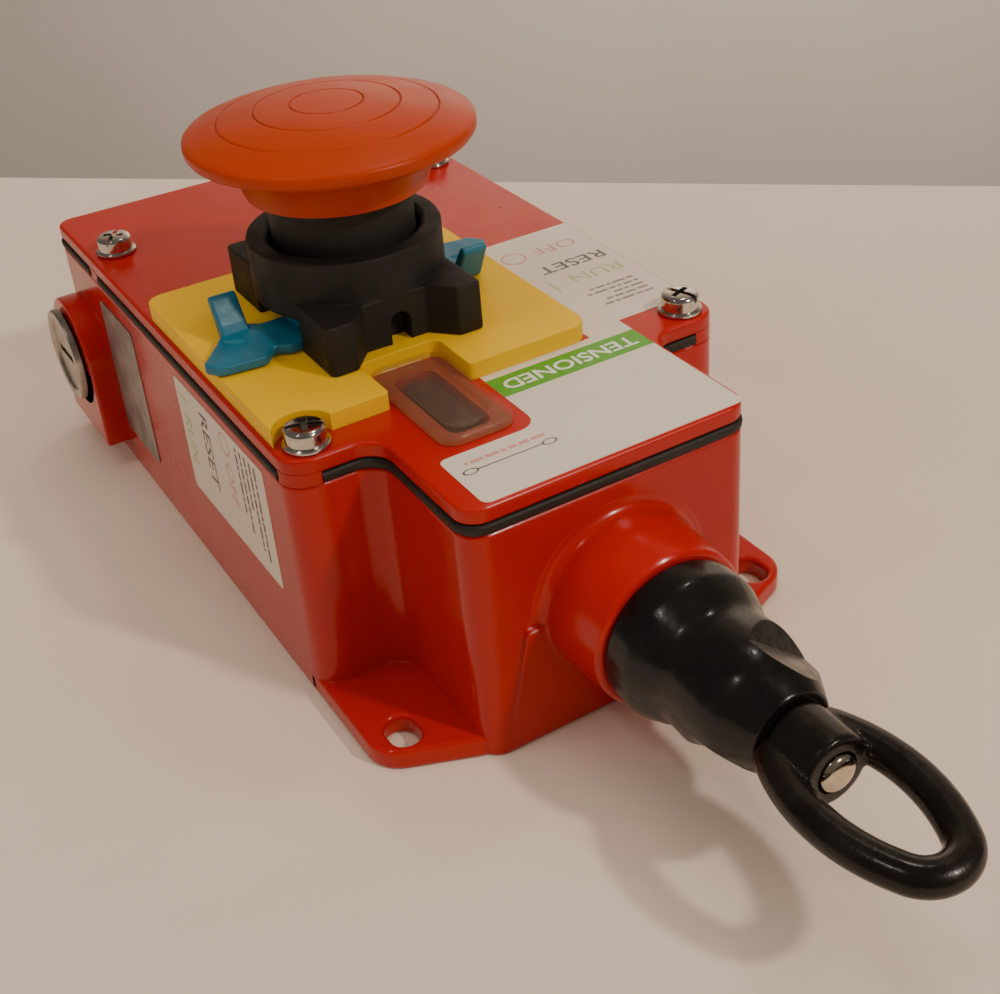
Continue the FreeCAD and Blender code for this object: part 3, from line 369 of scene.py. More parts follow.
def make_finishes():
    """Every finish by its key.

    A row holds the key, the real material and process, the shader's plain numbers, the drift of
    colour, the drift of roughness, the layers of relief and the rounding of edges in millimetres.
    """
    colours = bpy.context.scene.switch_colours
    rows = [
        # Stove enamel over die-cast aluminium: thick and glossy, with the slow waves of a sprayed coat.
        ("enamel", "stove_enamel_red", {"Roughness": 0.2, "IOR": 1.5, "Specular IOR Level": 0.35,
             "Coat Weight": 0.15, "Coat Roughness": 0.06},
         (45, colours.enamel, shade(colours.enamel, 0.93)), (12, 0.16, 0.26),
         [(3.2, 0.012, 1.0), (0.8, 0.0012, 1.0)], 0.9),
        # The same enamel on the flat lid, rubbed a little duller by handling.
        ("lid", "stove_enamel_red_lid", {"Roughness": 0.3, "IOR": 1.5, "Specular IOR Level": 0.35,
             "Coat Weight": 0.12, "Coat Roughness": 0.12},
         (40, colours.enamel, shade(colours.enamel, 0.94)), (9, 0.26, 0.36),
         [(2.6, 0.008, 1.0), (0.5, 0.0012, 2.0)], 0.4),
        # Moulded nitrile rubber, matt black with a fine bloom.
        ("gasket", "nitrile_gasket", {"Roughness": 0.6, "IOR": 1.52},
         (6, "#17130F", "#231D18"), None, [(1.2, 0.03, 2.0)], 0),
        # Zinc-plated steel screws, bright with faint turning marks.
        ("zinc", "bright_zinc_plate", {"Metallic": 1.0, "Roughness": 0.2},
         (2.5, "#D9D6CF", "#BDB9B0"), (1.5, 0.1, 0.24), [(1.6, 0.01, 2.0)], 0.25),
        # Nickel-plated brass blanking plug, satin from turning, with tiny pits.
        ("plug", "satin_nickel_plug", {"Metallic": 1.0, "Roughness": 0.34},
         (5, "#C9C2B8", "#A9A299"), (2.0, 0.26, 0.42), [(0.9, 0.012, 3.0)], 0.2),
        # Injection-moulded ABS, saturated yellow with a soft sheen and spark-eroded grain of 0.3 mm.
        ("plate", "moulded_abs_yellow", {"Roughness": 0.5, "IOR": 1.53, "Specular IOR Level": 0.15,
             "Subsurface Weight": 0.06, "Subsurface Scale": 0.002},
         (30, colours.plate, shade(colours.plate, 0.96)), (10, 0.4, 0.5),
         [(0.35, 0.006, 2.0), (6.0, 0.02, 1.0)], 0.5),
        # Glass-filled nylon: matt black that lets the fibre show as a faint brown grain.
        ("nylon", "glass_filled_nylon_black", {"Roughness": 0.62, "IOR": 1.53, "Specular IOR Level": 0.4},
         (14, "#171514", "#1E1B18"), (5, 0.55, 0.72), [(0.4, 0.01, 2.0), (5.0, 0.03, 1.0)], 0.6),
        # Dyed nylon lever, satin blue-green with a finger-worn sheen.
        ("lever", "moulded_nylon_blue", {"Roughness": 0.42, "IOR": 1.53},
         (8, colours.lever, shade(colours.lever, 0.88)), (4, 0.34, 0.5), [(0.4, 0.006, 2.0)], 0.4),
        # Moulded polycarbonate head: satin orange-red that glows slightly where the light enters.
        ("head", "moulded_polycarbonate_red", {"Roughness": 0.4, "IOR": 1.56, "Specular IOR Level": 0.18,
             "Subsurface Weight": 0.08, "Subsurface Scale": 0.003, "Subsurface Radius": (1.0, 0.25, 0.1)},
         (25, colours.head, shade(colours.head, 0.95)), (9, 0.3, 0.42),
         [(0.3, 0.004, 2.0), (7.0, 0.03, 1.0)], 0.3),
        # Clear moulded polycarbonate, a little wavy and smoked by age.
        ("pane", "clear_polycarbonate", {"Base Color": linear("#8F7364"), "Roughness": 0.1, "IOR": 1.58,
             "Alpha": 0.13},
         None, None, [(3.0, 0.12, 2.0)], 0.5),
        # Cast silicone under the pane's flange, dark brown-red with painted shade: the colour of the red
        # cover as it looks in shade under the pane.
        ("seal", "silicone_painted_shade", {"Roughness": 0.4, "IOR": 1.41, "Subsurface Weight": 0.2,
             "Subsurface Scale": 0.001},
         (5, "#A0482A", "#8A3A20"), None, [(1.5, 0.02, 2.0)], 0),
        # Moulded neoprene boot: satin black with blotchy highlights from the mould's skin.
        ("boot", "moulded_neoprene", {"Roughness": 0.24, "IOR": 1.55, "Specular IOR Level": 0.3,
             "Coat Weight": 0.08, "Coat Roughness": 0.08},
         (9, "#0B0B0B", "#151413"), (3, 0.14, 0.34), [(2.4, 0.05, 2.0), (0.5, 0.008, 2.0)], 0.35),
        # Dipped black enamel on a cast eye: half gloss, with the slow waves of drips and a few specks.
        ("eye", "dipped_enamel_black", {"Roughness": 0.24, "IOR": 1.5, "Specular IOR Level": 0.3,
             "Coat Weight": 0.08, "Coat Roughness": 0.08},
         (7, "#100D0B", "#1A1512"), (2.5, 0.16, 0.36), [(1.6, 0.06, 3.0), (0.4, 0.012, 2.0)], 0),
        # Bright turned steel, peened over at the eye and warm from the room's light.
        ("steel", "turned_bright_steel", {"Metallic": 1.0, "Roughness": 0.16},
         (3, "#D8CDB8", "#BBAE97"), (1.2, 0.1, 0.24), [(1.4, 0.03, 2.0)], 0),
        # Spring wire, drawn and phosphated to a dull dark grey.
        ("spring", "drawn_spring_wire", {"Metallic": 1.0, "Roughness": 0.35},
         (3, "#8E8C89", "#6F6D6B"), (1.5, 0.28, 0.45), [(0.5, 0.01, 2.0)], 0),
        # Zinc-plated folded sheet, with the spangle of its coat.
        ("sheet", "plated_sheet_steel", {"Metallic": 1.0, "Roughness": 0.3},
         (4, "#C8C5B8", "#A5A297"), (3, 0.2, 0.4), [(2.0, 0.01, 2.0)], 0),
        # Natural acetal bearings and cam: waxy off-white.
        ("acetal", "machined_acetal", {"Roughness": 0.4, "IOR": 1.48, "Subsurface Weight": 0.15,
             "Subsurface Scale": 0.002},
         (8, "#DAD6CA", "#CFCABB"), (3, 0.35, 0.5), [(0.6, 0.008, 2.0)], 0),
        # Phenolic contact blocks, dull dark grey with filler specks.
        ("phenolic", "moulded_phenolic", {"Roughness": 0.55, "IOR": 1.6},
         (1.2, "#34353A", "#25262A"), (3, 0.48, 0.62), [(0.4, 0.01, 2.0)], 0),
        # Turned brass terminal screws, lightly tarnished.
        ("brass", "turned_brass", {"Metallic": 1.0, "Roughness": 0.25},
         (2, "#C9A35A", "#A68246"), (1.5, 0.18, 0.34), [(0.6, 0.006, 2.0)], 0),
        # Green-dipped earth screw.
        ("earth", "green_dipped_screw", {"Roughness": 0.35, "IOR": 1.5},
         (2, "#1F6B33", "#185428"), (2, 0.28, 0.42), [(0.8, 0.01, 2.0)], 0),
        # Polyester label film with a satin over-laminate.
        ("film", "polyester_label", {"Roughness": 0.42, "IOR": 1.5},
         (35, colours.film, shade(colours.film, 0.975)), (8, 0.36, 0.48), [(9.0, 0.02, 1.0)], 0),
        # Brushed aluminium nameplate, dull with age.
        ("nameplate", "etched_aluminium_foil", {"Metallic": 0.7, "Roughness": 0.45},
         (7, "#A8A29C", "#8B857F", 3.0, 0.1), (4, 0.36, 0.55), [(1.5, 0.01, 3.0)], 0),
        # Pressed cotton cloth on the table, shown with threads of 0.6 mm so that they are just felt.
        ("cloth", "table_cloth", {"Roughness": 0.85, "IOR": 1.45},
         (160, "#E4D3C2", "#DDCCBB"), None, [(70.0, 3.0, 1.0), (22.0, 0.5, 1.0), (0.9, 0.03, 2.0)], 0),
        # Rolled emulsion on plaster, matt and even.
        ("plaster", "emulsion_on_plaster", {"Roughness": 0.9, "IOR": 1.45},
         (400, "#D9CDC0", "#D2C6B9"), None, [(2.0, 0.1, 2.0)], 0),
    ]

    # Screen inks, each a thin satin layer a little uneven in its cover.
    inks = {
        "green_ink": (colours.band, 0.94), "white_ink": ("#E8E6DA", 0.97),
        "dark_ink": ("#4A4541", 1.25), "pale_red_ink": ("#C88A82", 1.06),
        "pale_green_ink": ("#A8B07C", 1.06), "grey_ink": ("#77716B", 1.12),
    }
    for name, (code, other) in inks.items():
        rows.append((name, "screen_printed_" + name, {"Roughness": 0.45, "IOR": 1.5},
                     (1.5, code, shade(code, other)), (5, 0.38, 0.5), [(0.5, 0.002, 2.0)], 0))

    finishes = {}
    for key, name, sockets, drift, sheen, layers, rounding in rows:
        finish, tree, shader = begin(name, sockets)
        if drift:
            tint(tree, shader, *drift)
        if sheen:
            gloss(tree, shader, *sheen)
        relief(tree, shader, layers, rounding)
        finishes[key] = finish
    return finishes


FINISH = {}


# Shared outlines.

def plan(inset=0.0):
    """The housing's plan and the radius of each of its corners, drawn in by a distance."""
    points = [
        (REAR + inset, inset - WIDE), (SHOULDER - inset, inset - WIDE),
        (SHOULDER - inset, inset - SLIM), (NOSE - inset, inset - SLIM),
        (NOSE - inset, SLIM - inset), (SHOULDER - inset, SLIM - inset),
        (SHOULDER - inset, WIDE - inset), (REAR + inset, WIDE - inset),
    ]
    radii = [4 - inset, 6 - inset, 5.5 + inset, 5 - inset, 5 - inset, 5.5 + inset, 6 - inset, 4 - inset]
    return points, [(i, max(0.6, r)) for i, r in enumerate(radii)]


class PULLSWITCH_OT_casting(bpy.types.Operator):
    """The red die-cast housing with its feet, entries and snout."""
    bl_idname = "pullswitch.casting"
    bl_label = "Casting"

    def execute(self, context):
        edge = context.scene.switch_sizes.edge / MM
        points, rounds = plan()
        shell = slab("housing_casting", points, 0, RIM, rounds)
        soften(shell, edge, 3)
        inner, inner_rounds = plan(3.5)
        cut(shell, slab("hollow", inner, 4, RIM + 5, inner_rounds))
        shell.name = "housing_casting"

        root, reach = 17.7, 2.6
        flare = [(0, 98.0), (root + reach, 98.0)]
        for step in range(9):
            angle = math.radians(90 * step / 8)
            flare.append((root + reach * (1 - math.sin(angle)), NOSE + reach * (1 - math.cos(angle))))
        flare += [(16.9, SNOUT_END - 0.9), (16.4, SNOUT_END - 0.25), (15.8, SNOUT_END), (8, SNOUT_END),
                  (8, SNOUT_END - 3), (0, SNOUT_END - 3)]
        snout = turned("snout", flare, (0, 0, SHAFT_Z), "X", 112)

        # Below the parting line the front wall carries a web that dies away towards the base.
        web = slab("web", [(-27.6, 0.6), (27.6, 0.6), (22.3, 28.6), (-22.3, 28.6)], 0, 2.5,
                   [(2, 1.2), (3, 1.2)], steps=4)
        laid(web, (NOSE - 1.2, 0, 0), (0, 1, 0), (0, 0, 1))
        only(web)
        bpy.ops.object.mode_set(mode="EDIT")
        pick(web, lambda p, part: p.z < 5 and p.x > NOSE)
        bpy.ops.transform.translate(value=(-1.2 * MM, 0, 0))
        bpy.ops.object.mode_set(mode="OBJECT")
        soften(web, 0.35, 3, 20)

        foot = slab("foot", [(60, -WIDE), (91.7, -WIDE), (101.2, -28.9), (60, -28.9)], 0, 4.8,
                    [(1, 7.5), (2, 3.0)], steps=8)
        slot_x, slot_y, half, narrow = 88, -44.1, 4.5, 3.25
        cut(foot, block("slot", slot_x - half, slot_x + half, slot_y - narrow, slot_y + narrow, -1, 6, 3.2))
        soften(foot, 0.9, 3, 40)
        ear = slab("ear", [(REAR + 6, -WIDE), (-95.2, -WIDE), (-95.2, -37.6), (REAR, -31.1),
                           (REAR + 6, -31.1)], 0, 4.8, [(1, 6), (2, 6)], steps=8)
        cut(ear, block("slot", -slot_x - half, -slot_x + half, slot_y - narrow, slot_y + narrow, -1, 6, 3.2))
        soften(ear, 0.9, 3, 40)

        boss = turned("entry", [(0, -WIDE + 2), (14.8, -WIDE + 2), (14.8, -PORT_FACE + 0.8),
                                (14.55, -PORT_FACE + 0.25), (14.0, -PORT_FACE), (0, -PORT_FACE)],
                      (PORT_X, 0, SHAFT_Z), "Y", 96)
        base = block("entry_base", PORT_X - 14.8, PORT_X + 14.8, -PORT_FACE, -WIDE + 2, 7, SHAFT_Z)
        soften(base, 0.8, 3)
        columns = []
        for x, y in SCREWS.values():
            columns.append(turned("column", [(0, 2), (5.6, 2), (5.6, RIM - 0.1), (2.6, RIM - 0.1), (2.6, 39),
                                             (0, 39)], (x, y, 0), "Z", 40))
        others = [mirrored(part, part.name + "_far") for part in (foot, ear, boss, base)]
        bores = [pin("bore", "Y", side * 46, side * 62, (PORT_X, 0, SHAFT_Z), 9.2, 64) for side in (-1, 1)]
        bore = pin("bore", "X", 96, 116.5, (0, 0, SHAFT_Z), 8.0, 48)
        for part in (boss, others[2]):
            near = bores[0] if part is boss else bores[1]
            cut(part, twin(near, "bore_twin"))
        for part in (shell, base, others[3]):
            for tool in bores:
                cut(part, twin(tool, "bore_twin"))
        cut(shell, bore)
        for tool in bores:
            bpy.data.objects.remove(tool, do_unlink=True)
        casting = join("housing_casting", shell, snout, web, foot, ear, boss, base, *others, *columns)
        done(casting, FINISH["enamel"], "enclosure", "housing", slot="housing_red", angle=30)
        return {"FINISHED"}


class PULLSWITCH_OT_lid(bpy.types.Operator):
    """The cover with its metal pads, and the gasket squeezed between them."""
    bl_idname = "pullswitch.lid"
    bl_label = "Cover and gasket"

    def execute(self, context):
        bulge = context.scene.switch_sizes.gasket_bulge / MM
        points, rounds = plan()
        lid = slab("cover_casting", points, LID_LOW, LID_TOP, rounds)
        soften(lid, 0.9, 4)
        cut(lid, block("light", 51.4, 77.4, -20.8, -11.4, 50, 64, 2.5))
        cut(lid, pin("neck", "Z", 50, 64, (*BUTTON, 0), 14.85, 64))
        pads = []
        for x, y in SCREWS.values():
            low, high = sorted((y, math.copysign(53, y)))
            spot = (x, 70, low, high) if x > 0 else (x - 2.8, x + 2.8, low, high)
            pad = slab("pad", points, RIM + 0.02, LID_LOW + 0.5, rounds)
            pads.append(cut(pad, block("pad_box", *spot, 50, 58), kind="INTERSECT"))
        lid = join("cover_casting", lid, *pads)
        done(lid, FINISH["lid"], "enclosure", "cover", slot="cover_red", angle=30)

        outer, outer_rounds = plan(-bulge)
        ring = slab("cover_gasket", outer, RIM + 0.05, LID_LOW - 0.05, outer_rounds)
        soften(ring, 0.8, 3)
        inner, inner_rounds = plan(3.5)
        cut(ring, slab("inside", inner, 50, 60, inner_rounds))
        for x, y in SCREWS.values():
            low, high = sorted((math.copysign(44.5 if x > 0 else 38.2, y), math.copysign(56, y)))
            if x > 0:
                cut(ring, block("gap", 62.1, 74, low, high, 50, 60))
            else:
                cut(ring, block("gap", x - 3.1, x + 3.1, low, high, 50, 60))
        done(ring, FINISH["gasket"], "enclosure", "gasket", slot="gasket_rubber", angle=40)
        return {"FINISHED"}


class PULLSWITCH_OT_screws(bpy.types.Operator):
    """The four cover screws with their captive washers."""
    bl_idname = "pullswitch.screws"
    bl_label = "Cover screws"

    def execute(self, context):
        base = LID_TOP + 1.1
        top = base + 3.4
        turns = {"fl": 70, "fr": 20, "rl": -35, "rr": 50}
        for key, (x, y) in SCREWS.items():
            profile = [(0, 40), (2.4, 40), (2.4, LID_TOP + 0.1), (4.5, LID_TOP), (4.85, LID_TOP + 0.3),
                       (4.85, LID_TOP + 0.8), (4.5, base), (4.15, base), (4.15, top - 1.1), (4.0, top - 0.55),
                       (3.6, top - 0.15), (2.6, top), (0, top + 0.12)]
            screw = turned("cover_screw_" + key + "_bright", profile, (x, y, 0), "Z", 56)
            slot = block("slot", -5, 5, -0.55, 0.55, top - 1.5, top + 1)
            cross = block("cross", -2.5, 2.5, -0.6, 0.6, top - 2.0, top + 1)
            for tool, extra in ((slot, 0), (cross, 90), (twin(cross, "cross_twin"), 0)):
                tool.data.transform(Matrix.Translation(Vector((x, y, 0)) * MM)
                                    @ Matrix.Rotation(math.radians(turns[key] + extra), 4, "Z"))
                cut(screw, tool)
            done(screw, FINISH["zinc"], "enclosure", "cover_screw_" + key, slot="zinc_screw", angle=40)
        return {"FINISHED"}


class PULLSWITCH_OT_plate(bpy.types.Operator):
    """The yellow plate under the button, notched for the window."""
    bl_idname = "pullswitch.plate"
    bl_label = "Yellow plate"

    def execute(self, context):
        outline = [(-11.4, -50.5), (61, -50.5), (61, -25.5), (46.9, -25.5), (46.9, -7.2), (61, -7.2),
                   (61, 22), (-11.4, 22)]
        plate = slab("button_plate_moulding", outline, LID_TOP, PLATE_TOP,
                     [(0, 4), (7, 4), (6, 4), (3, 2.5), (4, 2.5), (2, 1.0), (5, 1.0)])
        cut(plate, pin("relief", "Z", 50, 70, (62.4, -44.6, 0), 6.25, 64))
        cut(plate, pin("neck", "Z", 50, 70, (*BUTTON, 0), 14.85, 64))
        soften(plate, 0.8, 4)
        done(plate, FINISH["plate"], "enclosure", "button_plate", slot="yellow_plastic")
        return {"FINISHED"}


class PULLSWITCH_OT_window(bpy.types.Operator):
    """The clear tension window on its seal, whose dark brown-red is painted shade."""
    bl_idname = "pullswitch.window"
    bl_label = "Window"

    def execute(self, context):
        x0, x1, y0, y1 = PANE
        seal = block("window_seal_silicone", x0 + 0.2, x1 - 0.2, y0 + 0.2, y1 - 0.2,
                     LID_TOP, LID_TOP + 0.3, 3.8)
        cut(seal, block("hole", x0 + 4.2, x1 - 4, y0 + 3.8, y1 - 3.7, 50, 70, 2.5))
        soften(seal, 0.1, 2)
        # The seal's dark brown-red finish carries painted shade over the red cover's colour.
        done(seal, FINISH["seal"], "enclosure", "window_seal", slot="washer_fibre")

        low = LID_TOP + 0.32
        high = LID_TOP + 2.2
        pane = block("window_pane_clear", x0, x1, y0, y1, low, high, 4)
        soften(pane, 0.9, 5)
        well = block("well", x0 + 4.2, x1 - 4, y0 + 3.4, y1 - 3.4, high - 0.7, high + 1, 4)
        cut(pane, well)
        rib = block("window_rib", x0 + 4.8, x1 - 4.6, y0 + 4.2, y1 - 4.1, 56.4, low + 0.2, 4)
        cut(rib, block("rib_inside", x0 + 6, x1 - 5.8, y0 + 5.4, y1 - 5.3, 55, low - 0.6, 3))
        pane = join("window_pane_clear", pane, rib)
        done(pane, FINISH["pane"], "enclosure", "window_pane", slot="clear_pane")
        return {"FINISHED"}


class PULLSWITCH_OT_guard(bpy.types.Operator):
    """The black guard collar with its four lobes, lever openings and gates."""
    bl_idname = "pullswitch.guard"
    bl_label = "Guard collar"

    def execute(self, context):
        px, py = BUTTON
        top, lobe_top, tunnel_top = 83.5, 74.5, 70.8
        t, w, f = 26.2, 17.8, 20.7
        outline = [(px - t, py - w), (px + t, py - w), (px + t, py - w * 0.67), (px + f, py - w * 0.4),
                   (px + f, py + w * 0.4), (px + t, py + w * 0.67), (px + t, py + w), (px - t, py + w),
                   (px - t, py + w * 0.67), (px - f, py + w * 0.4), (px - f, py - w * 0.4),
                   (px - t, py - w * 0.67)]
        base = slab("guard_collar_moulding", outline, PLATE_TOP, lobe_top,
                    [(0, 1.4), (1, 1.4), (6, 1.4), (7, 1.4), (2, 1), (5, 1), (8, 1), (11, 1)], steps=4)
        soften(base, 0.5, 2)
        drum = turned("drum", [(0, PLATE_TOP + 0.05), (f, PLATE_TOP + 0.05), (f, top - 0.7),
                               (f - 0.2, top - 0.2), (f - 0.7, top), (0, top)], (px, py, 0), "Z", 96)
        cut(base, drum, kind="UNION")
        cut(base, turned("bore", [(0, 60), (16, 60), (16, top - 1.4), (16.5, top - 0.5), (17.4, top + 0.05),
                                  (17.4, 90), (0, 90)], (px, py, 0), "Z", 96))
        for side in (-1, 1):
            x0, x1 = (px - 11, px + 12.2) if side < 0 else (px - 12.2, px + 11)
            y0, y1 = (py - w * 1.5, py) if side < 0 else (py, py + w * 1.5)
            cut(base, block("tunnel", x0, x1, y0, y1, 60, tunnel_top))
        gate_y, gate_half, gate_top = py + 1, 2.35, PLATE_TOP + 4.6
        for x0, x1 in ((px - 30, px - 16.8), (px + 16.8, px + 30)):
            cut(base, block("gate", x0, x1, gate_y - gate_half, gate_y + gate_half, 60, gate_top))
            cut(base, pin("gate_arch", "X", x0, x1, (0, gate_y, gate_top), gate_half, 32))
        done(base, FINISH["nylon"], "enclosure", "guard_collar", "button_bushing",
             slot="black_plastic", angle=30)

        neck = turned("bushing_tube", [(11.9, 47), (14.8, 47), (14.8, PLATE_TOP), (13.6, PLATE_TOP),
                                       (13.6, 78), (13.2, 78.4), (11.9, 78.4), (11.9, 47)],
                      (px, py, 0), "Z", 72)
        done(neck, FINISH["nylon"], "enclosure", slot="black_plastic")
        return {"FINISHED"}


class PULLSWITCH_OT_lever(bpy.types.Operator):
    """The blue reset lever: a ring with two wings, each with a thumb tab and a pointer."""
    bl_idname = "pullswitch.lever"
    bl_label = "Reset lever"

    def execute(self, context):
        px, py = BUTTON
        low, high = PLATE_TOP + 0.3, PLATE_TOP + 2.5
        spots = [(-2.0, -13.0), (-1.8, -21.1), (-3.8, -23.6), (-2.0, -30.2), (1.5, -32.6), (8.3, -38.2),
                 (11.8, -35.6), (13.0, -26.1), (9.6, -23.1), (11.6, -20.0), (11.0, -13.0)]
        wing = slab("reset_lever_moulding", [(px + a, py + b) for a, b in spots], low, high,
                    [(1, 1.6), (2, 0.7), (3, 0.8), (4, 2.0), (5, 1.5), (6, 1.5), (7, 1.6), (8, 1.2),
                     (9, 0.8)], steps=5)
        soften(wing, 0.5, 3)
        bpy.ops.mesh.primitive_uv_sphere_add(segments=32, ring_count=16, radius=MM,
                                             location=Vector((px + 3.2, py - 29.0, high + 0.3)) * MM)
        dimple = bpy.context.object
        dimple.scale = (1.5, 2.9, 1.1)
        dimple.rotation_euler = (0, 0, math.radians(-35))
        bpy.ops.object.transform_apply(location=True, rotation=True, scale=True)
        cut(wing, dimple)

        # The thumb tab is drawn from the side, then given its width.
        side = [(-1.2, low), (-3.6, low), (-4.4, low + 1.6), (-7.5, 71.6), (-7.2, 72.7), (-6.2, 72.95),
                (-5.3, 72.2), (-2.2, high + 1.6), (-0.6, high), (0.4, low + 1.4)]
        tab = slab("tab", side, 0, 6.0, [(3, 0.5), (4, 0.5), (5, 0.5), (7, 1.4)], steps=4)
        laid(tab, (px, py - 24.0, 0), (1, 0, 0), (0, 0, 1))
        soften(tab, 0.7, 3)
        wing = join("wing", wing, tab)
        other = twin(wing, "wing_far", half_turn=BUTTON)
        ring = turned("ring", [(13.65, low), (15.7, low), (15.7, high + 1.6), (15.3, high + 2.0),
                               (13.65, high + 2.0), (13.65, low)], (px, py, 0), "Z", 72)
        lever = join("reset_lever_moulding", wing, other, ring)
        done(lever, FINISH["lever"], "lever", "reset_lever", slot="blue_plastic")
        return {"FINISHED"}


class PULLSWITCH_OT_button(bpy.types.Operator):
    """The mushroom stop button with its three fine grooves, and its stem."""
    bl_idname = "pullswitch.button"
    bl_label = "Mushroom button"

    def execute(self, context):
        px, py = BUTTON
        radius, rim, dome, skirt = 30, 105.5, 4.9, 92.7
        crown = []
        for share in (0.985, 0.955, 0.9, 0.84, 0.775, 0.764, 0.756, 0.748, 0.737, 0.68, 0.6, 0.52, 0.508, 0.5,
                      0.492, 0.48, 0.4, 0.32, 0.27, 0.258, 0.25, 0.242, 0.23, 0.16, 0.08, 0.0):
            drop = 0.4 if share in (0.756, 0.5, 0.25) else 0.0
            crown.append((radius * share, rim + dome * (1 - share ** 2.5) - drop))
        profile = [(0, skirt + 4), (17.6, skirt + 4), (17.8, skirt + 0.2), (18.4, skirt), (19.2, skirt + 0.3),
                   (19.5, skirt + 1.2), (20.8, skirt + 5.2), (23.2, skirt + 7.4), (26.0, skirt + 8.9),
                   (28.4, 102.5), (29.5, 102.8), (radius, 103.6), (radius, 104.7), (29.9, 105.3)]
        cap = turned("mushroom_cap_moulding", profile + crown, (px, py, 0), "Z", 128)
        done(cap, FINISH["head"], "button", "mushroom_cap", slot="red_plastic", angle=50, weighted=False)
        profile = [(0, 36), (5.8, 36), (5.8, 42), (11.6, 42), (11.6, 84.5), (14.0, 84.5), (14.0, 73.6),
                   (15.3, 73.6), (15.3, skirt + 4.5), (0, skirt + 4.5)]
        stem = turned("button_stem_moulding", profile, (px, py, 0), "Z", 64)
        soften(stem, 0.3, 2)
        done(stem, FINISH["nylon"], "button", "button_stem", slot="black_plastic")
        return {"FINISHED"}


class PULLSWITCH_OT_plug(bpy.types.Operator):
    """The blanking plug of the near entry, and its fibre washer."""
    bl_idname = "pullswitch.plug"
    bl_label = "Entry plug"

    def execute(self, context):
        centre = (PORT_X, 0, SHAFT_Z)
        face = -PORT_FACE - 2.5
        profile = [(0, -47.9), (9.1, -47.9), (9.1, -PORT_FACE - 0.8), (12.2, -PORT_FACE - 0.8),
                   (12.2, face + 0.5), (11.9, face + 0.1), (11.3, face), (10.2, face), (9.7, face + 0.3),
                   (9.3, face + 0.9), (0, face + 1.0)]
        plug = turned("conduit_plug_turned", profile, centre, "Y", 96)
        cut(plug, block("driver", PORT_X - 6.5, PORT_X + 6.5, face - 2, face + 2.1, SHAFT_Z - 1, SHAFT_Z + 1))
        done(plug, FINISH["plug"], "enclosure", "conduit_plug", slot="plug_plated", angle=40)
        washer = turned("plug_washer_ring", [(9.2, -PORT_FACE), (10.5, -PORT_FACE), (10.7, -PORT_FACE - 0.4),
                                             (10.5, -PORT_FACE - 0.8), (9.2, -PORT_FACE - 0.8),
                                             (9.2, -PORT_FACE)], centre, "Y", 72)
        done(washer, FINISH["gasket"], "enclosure", "plug_washer", slot="washer_fibre")
        return {"FINISHED"}


class PULLSWITCH_OT_boot(bpy.types.Operator):
    """The rubber boot: a flange, a waist, a body with two wrench flats and a round cone at its lip."""
    bl_idname = "pullswitch.boot"
    bl_label = "Rubber boot"

    def execute(self, context):
        lip, back = BOOT_END, BOOT_START
        profile = [(4.05, lip), (4.05, lip - 5), (7.4, lip - 8), (7.6, 138), (11.2, 134), (11.2, back),
                   (15.0, back), (15.55, back + 0.25), (15.75, back + 0.9), (15.8, 124.8), (15.55, 125.9),
                   (15.0, 127.2), (14.2, 129.2), (13.5, 130.6), (13.1, 131.8), (12.95, 133), (13.0, 134.5),
                   (13.15, 137), (13.1, 141), (12.85, 143.5), (12.5, 145.3), (12.1, 146.6), (11.6, 147.5),
                   (8.7, 152.7), (8.35, 153.1), (7.8, lip), (4.05, lip)]
        boot = turned("boot_moulding", profile, (0, 0, SHAFT_Z), "X", 120)
        for angle in (50, 230):
            flat = slab("flat", [(136.6, 13.6), (141.5, 9.8), (156, 9.6), (156, 20), (136.6, 20)], -20, 20)
            flat.data.transform(Matrix.Translation((0, 0, SHAFT_Z * MM))
                                @ Matrix.Rotation(math.radians(angle), 4, "X"))
            cut(boot, flat)
        soften(boot, 0.3, 3, 22)
        done(boot, FINISH["boot"], "enclosure", "boot", slot="boot_rubber", angle=35)
        return {"FINISHED"}


